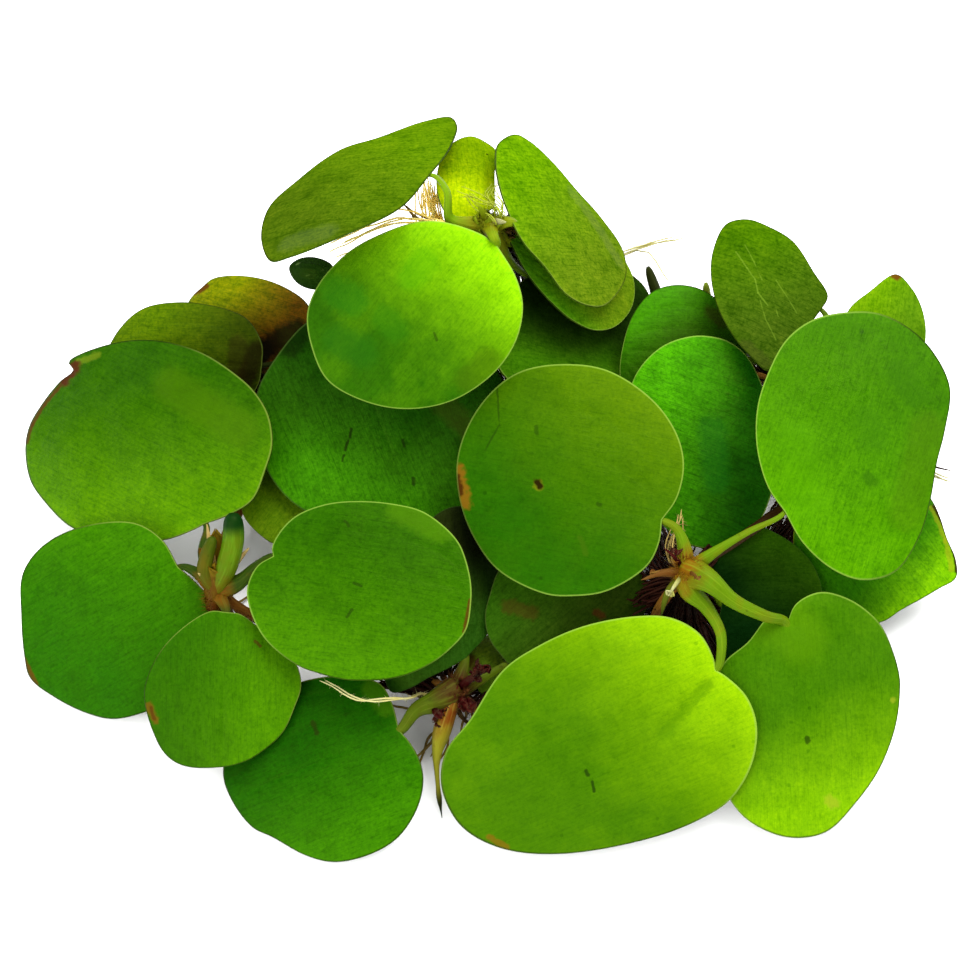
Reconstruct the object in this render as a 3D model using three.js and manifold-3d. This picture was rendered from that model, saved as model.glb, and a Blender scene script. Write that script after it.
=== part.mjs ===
// A clump of Amazon frogbit: six floating rosettes, joined by runners, lifted out of the water and heaped.
// Millimetres, +X to the right, +Y to the back, +Z up. The origin is under the middle of the clump.
import * as THREE from 'three';
import { mergeVertices } from 'three/addons/utils/BufferGeometryUtils.js';
import Module from 'manifold-3d';

const wasm = await Module();
wasm.setup();

// Real sizes that drive the clump
const MM_PER_PIXEL = 0.128;
const LEAF_EDGE_THICKNESS = 0.5;
const LEAF_MIDDLE_THICKNESS = 1.3;
const LEAF_ARCH = 1.0;
const CROWN_RADIUS = 2.1;
const CROWN_HALF_HEIGHT = 2.8;
const BRACT_FOOT_RADIUS = 0.9;
const BRACT_TIP_RADIUS = 0.15;
const BRACT_LIFT = 0.4;
const RUNNER_RADIUS = 0.7;
const ROOT_FOOT_RADIUS = 0.8;
const ROOT_TIP_RADIUS = 0.42;
const LOOSE_ROOT_FOOT_RADIUS = 0.54;
const LOOSE_ROOT_TIP_RADIUS = 0.24;
const TUFT_FOOT_RADIUS = 4;
const TUFT_WAIST_RADIUS = 2.2;
const TUFT_NECK_RADIUS = 1.2;
const TUFT_NECK_DROP = 1;
const LOOSE_ROOT_DROP = 3.6;
const GROUND_WIDTH = 200;
const GROUND_DEPTH = 20;
const GAP = 0.32;

// Shares of a piece's own length or height
const PETIOLE_FOOT_SHARE = 1.15;
const PETIOLE_TIP_SHARE = 0.5;
const PETIOLE_INSET_SHARE = 0.12;
const TUFT_WAIST_SHARE = 0.4;
const STRAND_BEND_SHARE = 0.6;
const STRAND_SAG_SHARE = 0.12;
const SPROUT_FOOT_PHASE = 0.35;
const SPROUT_TIP_PHASE = 0.95;

// The view that the outlines were measured in: a square picture seen from the front and above
const PICTURE_MIDDLE = 490;
const VIEW_ELEVATION = THREE.MathUtils.degToRad(60);
const VIEW_DISTANCE = 450;
const VIEW_AIM = new THREE.Vector3(0.5, -0.5, 15);
const VIEW_RIGHT = new THREE.Vector3(1, 0, 0);
const VIEW_UP = new THREE.Vector3(0, Math.sin(VIEW_ELEVATION), Math.cos(VIEW_ELEVATION));
const VIEW_FORWARD = new THREE.Vector3(0, Math.cos(VIEW_ELEVATION), -Math.sin(VIEW_ELEVATION));
const VIEW_EYE = VIEW_AIM.clone().addScaledVector(VIEW_FORWARD, -VIEW_DISTANCE);

// How finely the solids are faceted
const RIM_POINTS = 18;
const UPPER_RINGS = [0.6, 1];
const STEM_SIDES = 4;
const STEM_STEPS = 3;
const STRAND_SIDES = 3;
const STRAND_STEPS = 3;
const LOOSE_ROOT_STEPS = 2;
const SPROUT_STEPS = 5;
const TUFT_SIDES = 8;

// Crowns: a picture point and its height above the surface that the clump rests on
const CROWNS = {
  top: { at: [489, 226, 36], bracts: [[478, 205, 40], [506, 222, 40]] },
  right: { at: [686, 572, 20], bracts: [[650, 573, 21], [664, 548, 23], [668, 596, 21], [700, 580, 25]] },
  left: { at: [216, 590, 13], bracts: [[207, 524, 17], [249, 548, 16], [198, 573, 17]] },
  front: { at: [455, 692, 8.5], bracts: [[488, 668, 13], [437, 719, 9], [470, 712, 10]] },
  back_right: { at: [840, 400, 13], bracts: [[850, 385, 19]] },
  back_left: { at: [330, 345, 13], bracts: [[345, 335, 19]] },
};

// Leaves. base, far and side are picture points with a height, and set the blade's plane: the notch where
// the petiole joins, the tip, and one side. rim goes round the outline from the notch and back to it.
// way leads the petiole from its crown to the notch, and petiole is its radius.
const LEAVES = [
  {
    name: 'leaf_top_left', crown: 'top', colour: 'olive', petiole: 0.65,
    base: [431, 172, 41], far: [282, 195, 34], side: [347, 233, 44], way: [[450, 219, 38], [447, 192, 41]],
    rim: [[401, 206], [347, 233], [290, 256], [270, 260], [261, 240], [268, 208], [297, 180], [339, 150],
      [378, 137], [424, 121], [451, 117], [457, 125], [448, 150]],
  },
  {
    name: 'leaf_top_behind', crown: 'top', colour: 'lime', petiole: 0.5,
    base: [481, 214, 35.5], far: [471, 136, 31], side: [505, 165, 31.5], way: [],
    rim: [[462, 219], [446, 212], [438, 194], [437, 174], [443, 154], [455, 141], [471, 136], [486, 142],
      [497, 152], [495, 172], [495, 192], [494, 206]],
  },
  {
    name: 'leaf_top_right', crown: 'top', colour: 'mid', petiole: 0.6,
    base: [512, 220, 38.5], far: [608, 228, 22], side: [588, 305, 30.5], way: [],
    rim: [[501, 190], [496, 162], [499, 143], [515, 134], [530, 141], [555, 164], [578, 191], [601, 217],
      [624, 252], [625, 280], [605, 305], [588, 305], [567, 294], [545, 266], [524, 242]],
  },
  {
    name: 'leaf_top_right_under', crown: 'top', colour: 'dark', petiole: 0.6,
    base: [510, 240, 33], far: [628, 262, 16], side: [573, 320, 27], way: [],
    rim: [[527, 272], [550, 300], [573, 320], [596, 330], [616, 326], [632, 307], [634, 280], [618, 250],
      [590, 228], [555, 218], [525, 224]],
  },
  {
    name: 'leaf_top_front', crown: 'top', colour: 'lime', petiole: 0.6,
    base: [497, 245, 38], far: [369, 403, 27.5], side: [307, 314, 33], way: [[494, 238, 39]],
    rim: [[481, 234], [444, 222], [416, 222], [378, 235], [347, 253], [318, 285], [307, 314], [312, 349],
      [328, 381], [369, 403], [411, 409], [454, 400], [494, 373], [516, 341], [523, 306], [516, 277]],
  },
  {
    name: 'leaf_top_lowest', crown: 'top', colour: 'dark', petiole: 0.6,
    base: [530, 275, 25], far: [645, 320, 11.5], side: [565, 385, 21], way: [[503, 252, 32.5]],
    rim: [[560, 264], [600, 262], [628, 272], [648, 292], [652, 325], [640, 358], [610, 382], [570, 392],
      [525, 390], [498, 365], [500, 320], [513, 290]],
  },
  {
    name: 'leaf_right_back', crown: 'right', colour: 'mid', petiole: 0.5,
    base: [785, 512, 23], far: [847, 312, 31], side: [945, 431, 25], way: [[718, 550, 22], [748, 532, 22.5]],
    rim: [[768, 487], [757, 448], [757, 410], [766, 378], [786, 340], [812, 320], [847, 312], [878, 313],
      [908, 327], [932, 350], [950, 387], [945, 431], [937, 463], [931, 498], [919, 538], [895, 572],
      [862, 580], [832, 569], [803, 543]],
  },
  {
    name: 'leaf_right_front', crown: 'right', colour: 'mid', petiole: 1.0,
    base: [787, 624, 15.5], far: [801, 838, 2], side: [900, 695, 10],
    way: [[708, 581, 21.5], [733, 601, 20], [764, 616, 18]],
    rim: [[796, 604], [820, 592], [847, 598], [870, 613], [884, 630], [899, 672], [900, 695], [895, 729],
      [879, 770], [855, 804], [828, 831], [801, 838], [774, 834], [742, 815], [718, 775], [710, 725],
      [722, 666], [748, 642], [772, 615]],
  },
  {
    name: 'leaf_front_large', crown: 'right', colour: 'lime', petiole: 0.8,
    base: [716, 670, 15], far: [441, 785, 6], side: [600, 850, 3],
    way: [[689, 590, 19.8], [705, 606, 18.5], [720, 632, 17.5], [721, 652, 16.3]],
    rim: [[714, 659], [700, 634], [672, 618], [639, 616], [584, 626], [538, 646], [503, 670], [469, 721],
      [446, 751], [441, 785], [460, 825], [500, 848], [560, 854], [648, 839], [699, 820], [731, 799],
      [752, 764], [757, 726], [747, 697], [727, 677]],
  },
  {
    name: 'leaf_centre', crown: 'right', colour: 'olive', petiole: 0.6,
    base: [662, 520, 23], far: [456, 480, 21], side: [561, 364, 28],
    way: [[684, 545, 21.5], [676, 528, 22.5]],
    rim: [[677, 498], [684, 465], [677, 434], [653, 400], [607, 370], [561, 364], [521, 371], [494, 389],
      [470, 421], [457, 460], [460, 502], [475, 540], [499, 571], [545, 594], [574, 596], [607, 591],
      [647, 566], [659, 543]],
  },
  {
    name: 'leaf_right_under', crown: 'right', colour: 'dark', petiole: 0.6,
    base: [722, 604, 9.5], far: [822, 600, 8], side: [760, 524, 10], way: [[710, 578, 17]],
    rim: [[708, 572], [718, 540], [748, 524], [780, 535], [804, 553], [816, 570], [822, 592], [815, 625],
      [790, 655], [755, 672], [728, 668], [716, 640]],
  },
  {
    name: 'leaf_left_back', crown: 'left', colour: 'olive', petiole: 0.6,
    base: [204, 524, 14], far: [27, 440, 8], side: [153, 340, 20], way: [[203, 552, 14.5]],
    rim: [[190, 531], [164, 540], [125, 543], [97, 537], [69, 526], [43, 500], [30, 480], [25, 450],
      [29, 426], [43, 402], [60, 381], [73, 370], [68, 362], [109, 344], [153, 340], [200, 352],
      [240, 378], [256, 394], [268, 415], [272, 444], [265, 470], [252, 500], [228, 515]],
  },
  {
    name: 'leaf_left_side', crown: 'left', colour: 'mid', petiole: 0.5,
    base: [178, 567, 13], far: [24, 655, 3.5], side: [100, 718, 1.5], way: [[196, 572, 14]],
    rim: [[162, 540], [138, 524], [107, 522], [66, 532], [38, 550], [22, 575], [21, 615], [24, 655],
      [30, 678], [54, 697], [86, 713], [113, 719], [145, 712], [180, 694], [205, 660], [212, 625],
      [208, 598], [194, 581]],
  },
  {
    name: 'leaf_left_front', crown: 'left', colour: 'mid', petiole: 0.5,
    base: [226, 612, 13.5], far: [223, 767, 5], side: [298, 690, 9.8], way: [],
    rim: [[211, 611], [190, 622], [165, 645], [150, 670], [144, 694], [150, 724], [165, 754], [184, 766],
      [223, 767], [246, 761], [264, 750], [283, 732], [295, 706], [301, 687], [298, 668], [283, 645],
      [256, 625], [240, 614]],
  },
  {
    name: 'leaf_left_right', crown: 'left', colour: 'mid', petiole: 0.7,
    base: [273, 556, 18.5], far: [471, 590, 20], side: [349, 680, 15],
    way: [[238, 583, 14.5], [257, 566, 16.5]],
    rim: [[272, 547], [281, 530], [297, 515], [326, 504], [361, 501], [395, 504], [422, 511], [445, 527],
      [459, 543], [466, 560], [471, 583], [471, 604], [466, 630], [450, 649], [430, 664], [398, 677],
      [349, 680], [318, 673], [295, 664], [265, 639], [250, 610], [247, 588], [257, 566]],
  },
  {
    name: 'leaf_front_left', crown: 'front', colour: 'mid', petiole: 1.0,
    base: [399, 730, 8.5], far: [231, 799, 1.3], side: [335, 862, 1.3],
    way: [[436, 701, 9.4], [416, 710, 9.4]],
    rim: [[410, 743], [420, 762], [423, 781], [417, 808], [399, 836], [373, 853], [335, 862], [307, 856],
      [272, 837], [252, 827], [231, 799], [223, 773], [232, 735], [262, 700], [300, 682], [340, 676],
      [379, 683], [391, 701]],
  },
  {
    name: 'leaf_front_back', crown: 'front', colour: 'dark', petiole: 0.6,
    base: [466, 658, 9.5], far: [455, 506, 16], side: [415, 560, 14.6], way: [],
    rim: [[449, 668], [428, 678], [410, 688], [392, 692], [384, 672], [398, 630], [410, 590], [415, 555],
      [427, 523], [455, 506], [480, 514], [495, 535], [502, 565], [498, 600], [490, 630]],
  },
  {
    name: 'leaf_front_right', crown: 'front', colour: 'dark', petiole: 0.6,
    base: [508, 664, 9.5], far: [625, 560, 15], side: [490, 594, 14.2], way: [],
    rim: [[490, 640], [485, 617], [490, 594], [500, 569], [530, 550], [575, 542], [620, 552], [645, 576],
      [648, 606], [618, 640], [580, 664], [535, 674]],
  },
  {
    name: 'leaf_front_small', crown: 'front', colour: 'brown', petiole: 0.5,
    base: [474, 686, 6.5], far: [526, 660, 5], side: [495, 637, 6.5], way: [],
    rim: [[464, 664], [472, 646], [488, 635], [510, 637], [524, 652], [526, 672], [512, 692], [492, 700]],
  },
  {
    name: 'leaf_back_right_low', crown: 'back_right', colour: 'mid', petiole: 0.6,
    base: [852, 468, 11], far: [950, 580, 6], side: [870, 622, 5], way: [],
    rim: [[880, 460], [910, 475], [932, 500], [940, 517], [947, 538], [956, 560], [956, 578], [940, 588],
      [921, 599], [901, 610], [884, 621], [862, 624], [836, 612], [812, 590], [796, 560], [794, 530],
      [806, 502], [830, 480]],
  },
  {
    name: 'leaf_back_right_tip', crown: 'back_right', colour: 'lime', petiole: 0.5,
    base: [875, 380, 19], far: [896, 274, 24], side: [926, 335, 21], way: [],
    rim: [[856, 368], [845, 340], [848, 311], [870, 291], [896, 274], [911, 287], [922, 308], [926, 335],
      [919, 362], [900, 380]],
  },
  {
    name: 'leaf_back_right_high', crown: 'back_right', colour: 'olive', petiole: 0.6,
    base: [822, 308, 25], far: [713, 262, 25], side: [768, 370, 25.5], way: [[838, 345, 22]],
    rim: [[828, 296], [814, 272], [793, 241], [768, 226], [747, 219], [726, 224], [713, 250], [711, 276],
      [718, 307], [735, 338], [753, 358], [768, 370], [786, 350], [808, 326]],
  },
  {
    name: 'leaf_back_right_wide', crown: 'back_right', colour: 'dark', petiole: 0.6,
    base: [775, 452, 16.5], far: [635, 400, 20], side: [710, 548, 12], way: [],
    rim: [[772, 420], [762, 385], [747, 356], [730, 342], [715, 337], [692, 336], [661, 347], [635, 376],
      [626, 420], [635, 470], [655, 515], [685, 543], [720, 548], [752, 532], [771, 495]],
  },
  {
    name: 'leaf_back_right_behind', crown: 'back_right', colour: 'mid', petiole: 0.6,
    base: [748, 358, 17], far: [622, 350, 19], side: [673, 285, 21.5], way: [],
    rim: [[738, 318], [713, 296], [695, 287], [673, 285], [652, 292], [634, 313], [623, 345], [620, 376],
      [630, 408], [655, 430], [690, 435], [722, 418], [742, 388]],
  },
  {
    name: 'leaf_back_left_wide', crown: 'back_left', colour: 'dark', petiole: 0.6,
    base: [340, 322, 22], far: [420, 524, 13], side: [258, 430, 16.5], way: [],
    rim: [[320, 316], [302, 326], [272, 363], [257, 393], [257, 435], [268, 473], [300, 508], [345, 522],
      [400, 525], [455, 515], [495, 488], [512, 440], [508, 392], [482, 352], [430, 324], [375, 314]],
  },
  {
    name: 'leaf_back_left_brown', crown: 'back_left', colour: 'brown', petiole: 0.5,
    base: [312, 345, 12.5], far: [188, 305, 10], side: [246, 276, 14], way: [],
    rim: [[312, 325], [307, 304], [280, 285], [246, 276], [214, 278], [203, 286], [188, 303], [192, 325],
      [205, 348], [235, 368], [270, 374], [300, 362]],
  },
  {
    name: 'leaf_back_left_olive', crown: 'back_left', colour: 'brown', petiole: 0.5,
    base: [262, 365, 14.5], far: [108, 365, 11], side: [180, 302, 16.5], way: [[290, 360, 14]],
    rim: [[262, 345], [248, 320], [226, 309], [180, 302], [140, 310], [112, 340], [104, 372], [115, 405],
      [150, 428], [195, 430], [235, 412], [258, 385]],
  },
  {
    name: 'leaf_back_left_under', crown: 'back_left', colour: 'olive', petiole: 0.5,
    base: [330, 440, 12], far: [258, 530, 9.5], side: [345, 520, 9.5], way: [[332, 390, 13]],
    rim: [[300, 436], [266, 456], [246, 485], [242, 511], [257, 532], [280, 546], [310, 546], [338, 530],
      [352, 500], [352, 465]],
  },
  {
    name: 'leaf_back_left_small', crown: 'back_left', colour: 'dark', petiole: 0.4,
    base: [336, 276, 24], far: [290, 268, 24], side: [312, 257, 25], way: [[325, 318, 18.5]],
    rim: [[331, 264], [314, 257], [298, 259], [289, 267], [294, 280], [306, 288], [323, 289]],
  },
];

// Runners: the two crowns that they join, and the points between, each with its height
const RUNNERS = [
  {
    name: 'runner_left_to_front', from: 'left', to: 'front',
    way: [[248, 613, 10], [330, 642, 6.5], [400, 676, 4.4], [430, 682, 5.2]],
  },
  {
    name: 'runner_front_to_right', from: 'front', to: 'right',
    way: [[486, 712, 5], [560, 702, 3.5], [636, 652, 4.5], [662, 603, 15.5]],
  },
  {
    name: 'runner_right_to_back', from: 'right', to: 'back_right',
    way: [[745, 535, 18], [815, 480, 18.5], [838, 430, 17]],
  },
  {
    name: 'runner_left_to_back', from: 'left', to: 'back_left',
    way: [[222, 545, 7], [262, 470, 6], [308, 385, 10]],
  },
  {
    name: 'runner_back_to_top', from: 'back_left', to: 'top',
    way: [[385, 300, 19], [442, 282, 25], [466, 247, 32.5]],
  },
  {
    name: 'runner_top_to_back', from: 'top', to: 'back_right',
    way: [[512, 222, 33], [530, 235, 24], [560, 262, 13], [620, 310, 7], [740, 370, 8]],
  },
];

// Rolled young leaves, a bud, a shoot and spent stalks: spindles from the crown or runner that carries them.
// tip is where on its swell a blunt spindle ends: the lower it is, the blunter the end.
const SPROUTS = [
  {
    name: 'young_leaf_left', from: 'left', colour: 'lime', radius: 1.25, tip: 0.78,
    way: [[216, 590, 13], [228, 562, 17.5], [233, 540, 19.5], [233, 514, 22]],
  },
  {
    name: 'bud_left', from: 'left', colour: 'mid', radius: 0.9, tip: 0.86,
    way: [[216, 590, 13], [205, 570, 16.5], [213, 537, 19.5]],
  },
  {
    name: 'shoot_front', from: 'front', colour: 'brown', radius: 1.1,
    way: [[455, 692, 8.5], [446, 718, 8], [437, 754, 5.2], [438, 787, 3], [442, 818, 1.2]],
  },
  {
    name: 'stalk_right_dry', from: 'right', colour: 'brown', radius: 0.55,
    way: [[686, 572, 20], [664, 573, 21], [641, 580, 22]],
  },
  {
    name: 'stalk_right_green', from: 'right', colour: 'lime', radius: 0.5,
    way: [[686, 572, 20], [668, 592, 19], [661, 616, 16.5]],
  },
  {
    name: 'young_leaf_back_dark', from: 'runner_top_to_back', colour: 'dark', radius: 0.8,
    way: [[655, 327, 7.2], [659, 304, 13], [648, 267, 18]],
  },
  {
    name: 'young_leaf_back_green', from: 'runner_top_to_back', colour: 'lime', radius: 0.7,
    way: [[702, 351, 7.7], [708, 318, 14], [706, 283, 19]],
  },
];

// Loose roots that leave the tufts and show between the leaves, by crown: each starts below the crown
const LOOSE_ROOTS = {
  top: [
    [[455, 227, 33], [424, 221, 34.5]],
    [[400, 222, 33], [326, 250, 33]],
    [[462, 240, 30], [436, 226, 30], [428, 182, 33]],
    [[460, 232, 31], [420, 218, 31], [402, 205, 32]],
    [[505, 262, 20], [560, 285, 8], [627, 253, 9], [685, 237, 11]],
  ],
  right: [
    [[662, 575, 14], [644, 556, 11]],
    [[664, 592, 14.5], [640, 600, 14.5]],
    [[674, 550, 16], [678, 512, 16.5]],
  ],
  left: [],
  front: [[[427, 695, 6.5], [413, 699, 10.8], [394, 697, 12.4], [362, 701, 12.2], [326, 679, 12.6]]],
  back_right: [[[905, 462, 14], [952, 482, 15]]],
  back_left: [],
};

// Reach of each root tuft on the surface, and the share of a turn by which its strands are turned
const TUFTS = {
  top: { reaches: [18, 16, 15, 17, 15], turn: 0.1 },
  right: { reaches: [15, 17, 14, 16, 14], turn: 0.48 },
  left: { reaches: [12, 10, 13, 9, 11], turn: 0.2 },
  front: { reaches: [9, 12, 10, 8, 8], turn: 0.05 },
  back_right: { reaches: [15, 13, 16, 14, 15], turn: 0.3 },
  back_left: { reaches: [14, 15, 13, 15, 16], turn: 0.15 },
};

// Finishes
const MATERIALS = {
  lime: { color: 0x66b30a, roughness: 0.35, metalness: 0 },
  mid: { color: 0x3f8f10, roughness: 0.38, metalness: 0 },
  olive: { color: 0x5f8f0c, roughness: 0.4, metalness: 0 },
  dark: { color: 0x1f5c12, roughness: 0.42, metalness: 0 },
  brown: { color: 0x6b6a14, roughness: 0.5, metalness: 0 },
  crown: { color: 0xa8641a, roughness: 0.6, metalness: 0 },
  root: { color: 0xd8c878, roughness: 0.65, metalness: 0 },
  runner: { color: 0x8a6a1e, roughness: 0.55, metalness: 0 },
};

// Picture point to a ray from the eye
function rayThrough(px, py) {
  const direction = VIEW_FORWARD.clone().multiplyScalar(VIEW_DISTANCE);
  direction.addScaledVector(VIEW_RIGHT, (px - PICTURE_MIDDLE) * MM_PER_PIXEL);
  direction.addScaledVector(VIEW_UP, (PICTURE_MIDDLE - py) * MM_PER_PIXEL);
  return new THREE.Ray(VIEW_EYE, direction.normalize());
}

// Picture point to the place on its ray that is at the stated height
function seen([px, py, height]) {
  const level = new THREE.Plane(new THREE.Vector3(0, 0, 1), -height);
  return rayThrough(px, py).intersectPlane(level, new THREE.Vector3());
}

// Triangles to a solid with its faces pointing out, and a solid to a geometry
function signedVolume(points, faces) {
  const corners = [new THREE.Vector3(), new THREE.Vector3(), new THREE.Vector3()];
  let volume = 0;
  for (let face = 0; face < faces.length; face += 3) {
    corners.forEach((corner, i) => corner.fromArray(points, faces[face + i] * 3));
    volume += corners[0].dot(corners[1].cross(corners[2])) / 6;
  }
  return volume;
}

function toSolid(geometry) {
  const bare = new THREE.BufferGeometry();
  bare.setAttribute('position', geometry.getAttribute('position'));
  bare.setIndex(geometry.getIndex());
  const merged = mergeVertices(bare, 1e-4);
  const points = new Float32Array(merged.getAttribute('position').array);
  const faces = new Uint32Array(merged.getIndex().array);
  if (signedVolume(points, faces) < 0) {
    faces.reverse();
  }
  return new wasm.Manifold(new wasm.Mesh({ numProp: 3, vertProperties: points, triVerts: faces }));
}

function toGeometry(solid) {
  const mesh = solid.getMesh();
  const geometry = new THREE.BufferGeometry();
  geometry.setAttribute('position', new THREE.BufferAttribute(new Float32Array(mesh.vertProperties), 3));
  geometry.setIndex(new THREE.BufferAttribute(new Uint32Array(mesh.triVerts), 1));
  return geometry;
}

function joined(solids) {
  return solids.reduce((whole, solid) => whole.add(solid));
}

// Closed rings of points, each capped or closed to a point, to a geometry
function skin(rings, firstPoint, lastPoint) {
  const count = rings[0].length;
  const points = [firstPoint, ...rings.flat(), lastPoint];
  const last = points.length - 1;
  const faces = [];
  for (let i = 0; i < count; i += 1) {
    const next = (i + 1) % count;
    faces.push(0, 1 + next, 1 + i);
    for (let r = 0; r < rings.length - 1; r += 1) {
      const low = 1 + r * count;
      const high = low + count;
      faces.push(low + i, low + next, high + next);
      faces.push(low + i, high + next, high + i);
    }
    const top = 1 + (rings.length - 1) * count;
    faces.push(last, top + i, top + next);
  }
  const geometry = new THREE.BufferGeometry();
  geometry.setAttribute('position', new THREE.Float32BufferAttribute(points.flatMap((p) => p.toArray()), 3));
  geometry.setIndex(faces);
  return geometry;
}

function taper(footRadius, tipRadius) {
  return (place) => THREE.MathUtils.lerp(footRadius, tipRadius, place);
}

// A round bar along a smooth way, with its radius given for each place from 0 to 1
function bar(points, radiusAt, sides, steps) {
  const way = new THREE.CatmullRomCurve3(points, false, 'centripetal');
  const frames = way.computeFrenetFrames(steps, false);
  const rings = [];
  for (let step = 0; step <= steps; step += 1) {
    const place = step / steps;
    const middle = way.getPointAt(place);
    const ring = [];
    for (let side = 0; side < sides; side += 1) {
      const angle = (side / sides) * 2 * Math.PI;
      const point = middle.clone();
      point.addScaledVector(frames.normals[step], Math.cos(angle) * radiusAt(place));
      point.addScaledVector(frames.binormals[step], Math.sin(angle) * radiusAt(place));
      ring.push(point);
    }
    rings.push(ring);
  }
  return toSolid(skin(rings, way.getPointAt(0), way.getPointAt(1)));
}

// Leaf blade: a plane through three seen points, gently arched, with the rim where the picture shows it
function bladeSurface(leaf) {
  const base = seen(leaf.base);
  const far = seen(leaf.far);
  const side = seen(leaf.side);
  const plane = new THREE.Plane().setFromCoplanarPoints(base, far, side);
  if (plane.normal.dot(VIEW_FORWARD) > 0) {
    plane.negate();
  }
  const alongAxis = far.clone().sub(base).normalize();
  const acrossAxis = new THREE.Vector3().crossVectors(plane.normal, alongAxis);
  const middle = base.clone().add(far).multiplyScalar(0.5);
  const halfLength = base.distanceTo(far) / 2;
  const halfWidth = Math.abs(side.clone().sub(middle).dot(acrossAxis));
  const rise = (point) => {
    const offset = point.clone().sub(middle);
    const along = offset.dot(alongAxis) / halfLength;
    const across = offset.dot(acrossAxis) / halfWidth;
    return LEAF_ARCH * (1 - along * along - across * across);
  };
  const at = (px, py) => {
    const ray = rayThrough(px, py);
    const point = ray.intersectPlane(plane, new THREE.Vector3());
    for (let pass = 0; pass < 3; pass += 1) {
      const lifted = new THREE.Plane(plane.normal, plane.constant - rise(point));
      ray.intersectPlane(lifted, point);
    }
    return point;
  };
  return { at, normal: plane.normal };
}

function rimPoints(leaf, count) {
  const corners = [leaf.base, ...leaf.rim, leaf.base].map(([px, py]) => new THREE.Vector3(px, py, 0));
  const curve = new THREE.CatmullRomCurve3(corners, false, 'centripetal');
  return curve.getSpacedPoints(count).slice(0, count);
}

function blade(leaf) {
  const surface = bladeSurface(leaf);
  const rim = rimPoints(leaf, RIM_POINTS);
  const middle = rim.reduce((sum, p) => sum.add(p), new THREE.Vector3()).divideScalar(rim.length);
  const pointAt = (spoke, share, below) => {
    const px = middle.x + (spoke.x - middle.x) * share;
    const py = middle.y + (spoke.y - middle.y) * share;
    const thickness = THREE.MathUtils.lerp(LEAF_MIDDLE_THICKNESS, LEAF_EDGE_THICKNESS, share * share);
    return surface.at(px, py).addScaledVector(surface.normal, below ? -thickness : 0);
  };
  const upper = UPPER_RINGS.map((share) => rim.map((spoke) => pointAt(spoke, share, false)));
  const lowerRim = rim.map((spoke) => pointAt(spoke, 1, true));
  return toSolid(skin([...upper, lowerRim], pointAt(rim[0], 0, false), pointAt(rim[0], 0, true)));
}

// Petiole: from the crown along its way to the notch of the blade and a little way in
function petiole(leaf) {
  const surface = bladeSurface(leaf);
  const inside = surface.at(
    THREE.MathUtils.lerp(leaf.base[0], leaf.far[0], PETIOLE_INSET_SHARE),
    THREE.MathUtils.lerp(leaf.base[1], leaf.far[1], PETIOLE_INSET_SHARE),
  );
  const foot = seen(CROWNS[leaf.crown].at);
  const notch = surface.at(leaf.base[0], leaf.base[1]);
  const belowNotch = notch.addScaledVector(surface.normal, -LEAF_EDGE_THICKNESS);
  const belowInside = inside.addScaledVector(surface.normal, -LEAF_EDGE_THICKNESS);
  const points = [foot, ...leaf.way.map(seen), belowNotch, belowInside];
  const radiusAt = taper(leaf.petiole * PETIOLE_FOOT_SHARE, leaf.petiole * PETIOLE_TIP_SHARE);
  return bar(points, radiusAt, STEM_SIDES, STEM_STEPS + leaf.way.length);
}

// Crown: a short stem with papery pointed bracts that grow from it
function crownSolid(name, grow) {
  const { at, bracts } = CROWNS[name];
  const middle = seen(at);
  const core = new THREE.SphereGeometry(1, 8, 5);
  core.rotateX(Math.PI / 2);
  core.scale(CROWN_RADIUS + grow, CROWN_RADIUS + grow, CROWN_HALF_HEIGHT + grow);
  core.translate(middle.x, middle.y, middle.z);
  const parts = bracts.map((tip) => {
    const end = seen(tip);
    const bend = middle.clone().lerp(end, 0.5).add(new THREE.Vector3(0, 0, BRACT_LIFT));
    const radiusAt = taper(BRACT_FOOT_RADIUS + grow, BRACT_TIP_RADIUS + grow);
    return bar([middle, bend, end], radiusAt, STRAND_SIDES, STRAND_STEPS);
  });
  return joined([toSolid(core), ...parts]);
}

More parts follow.
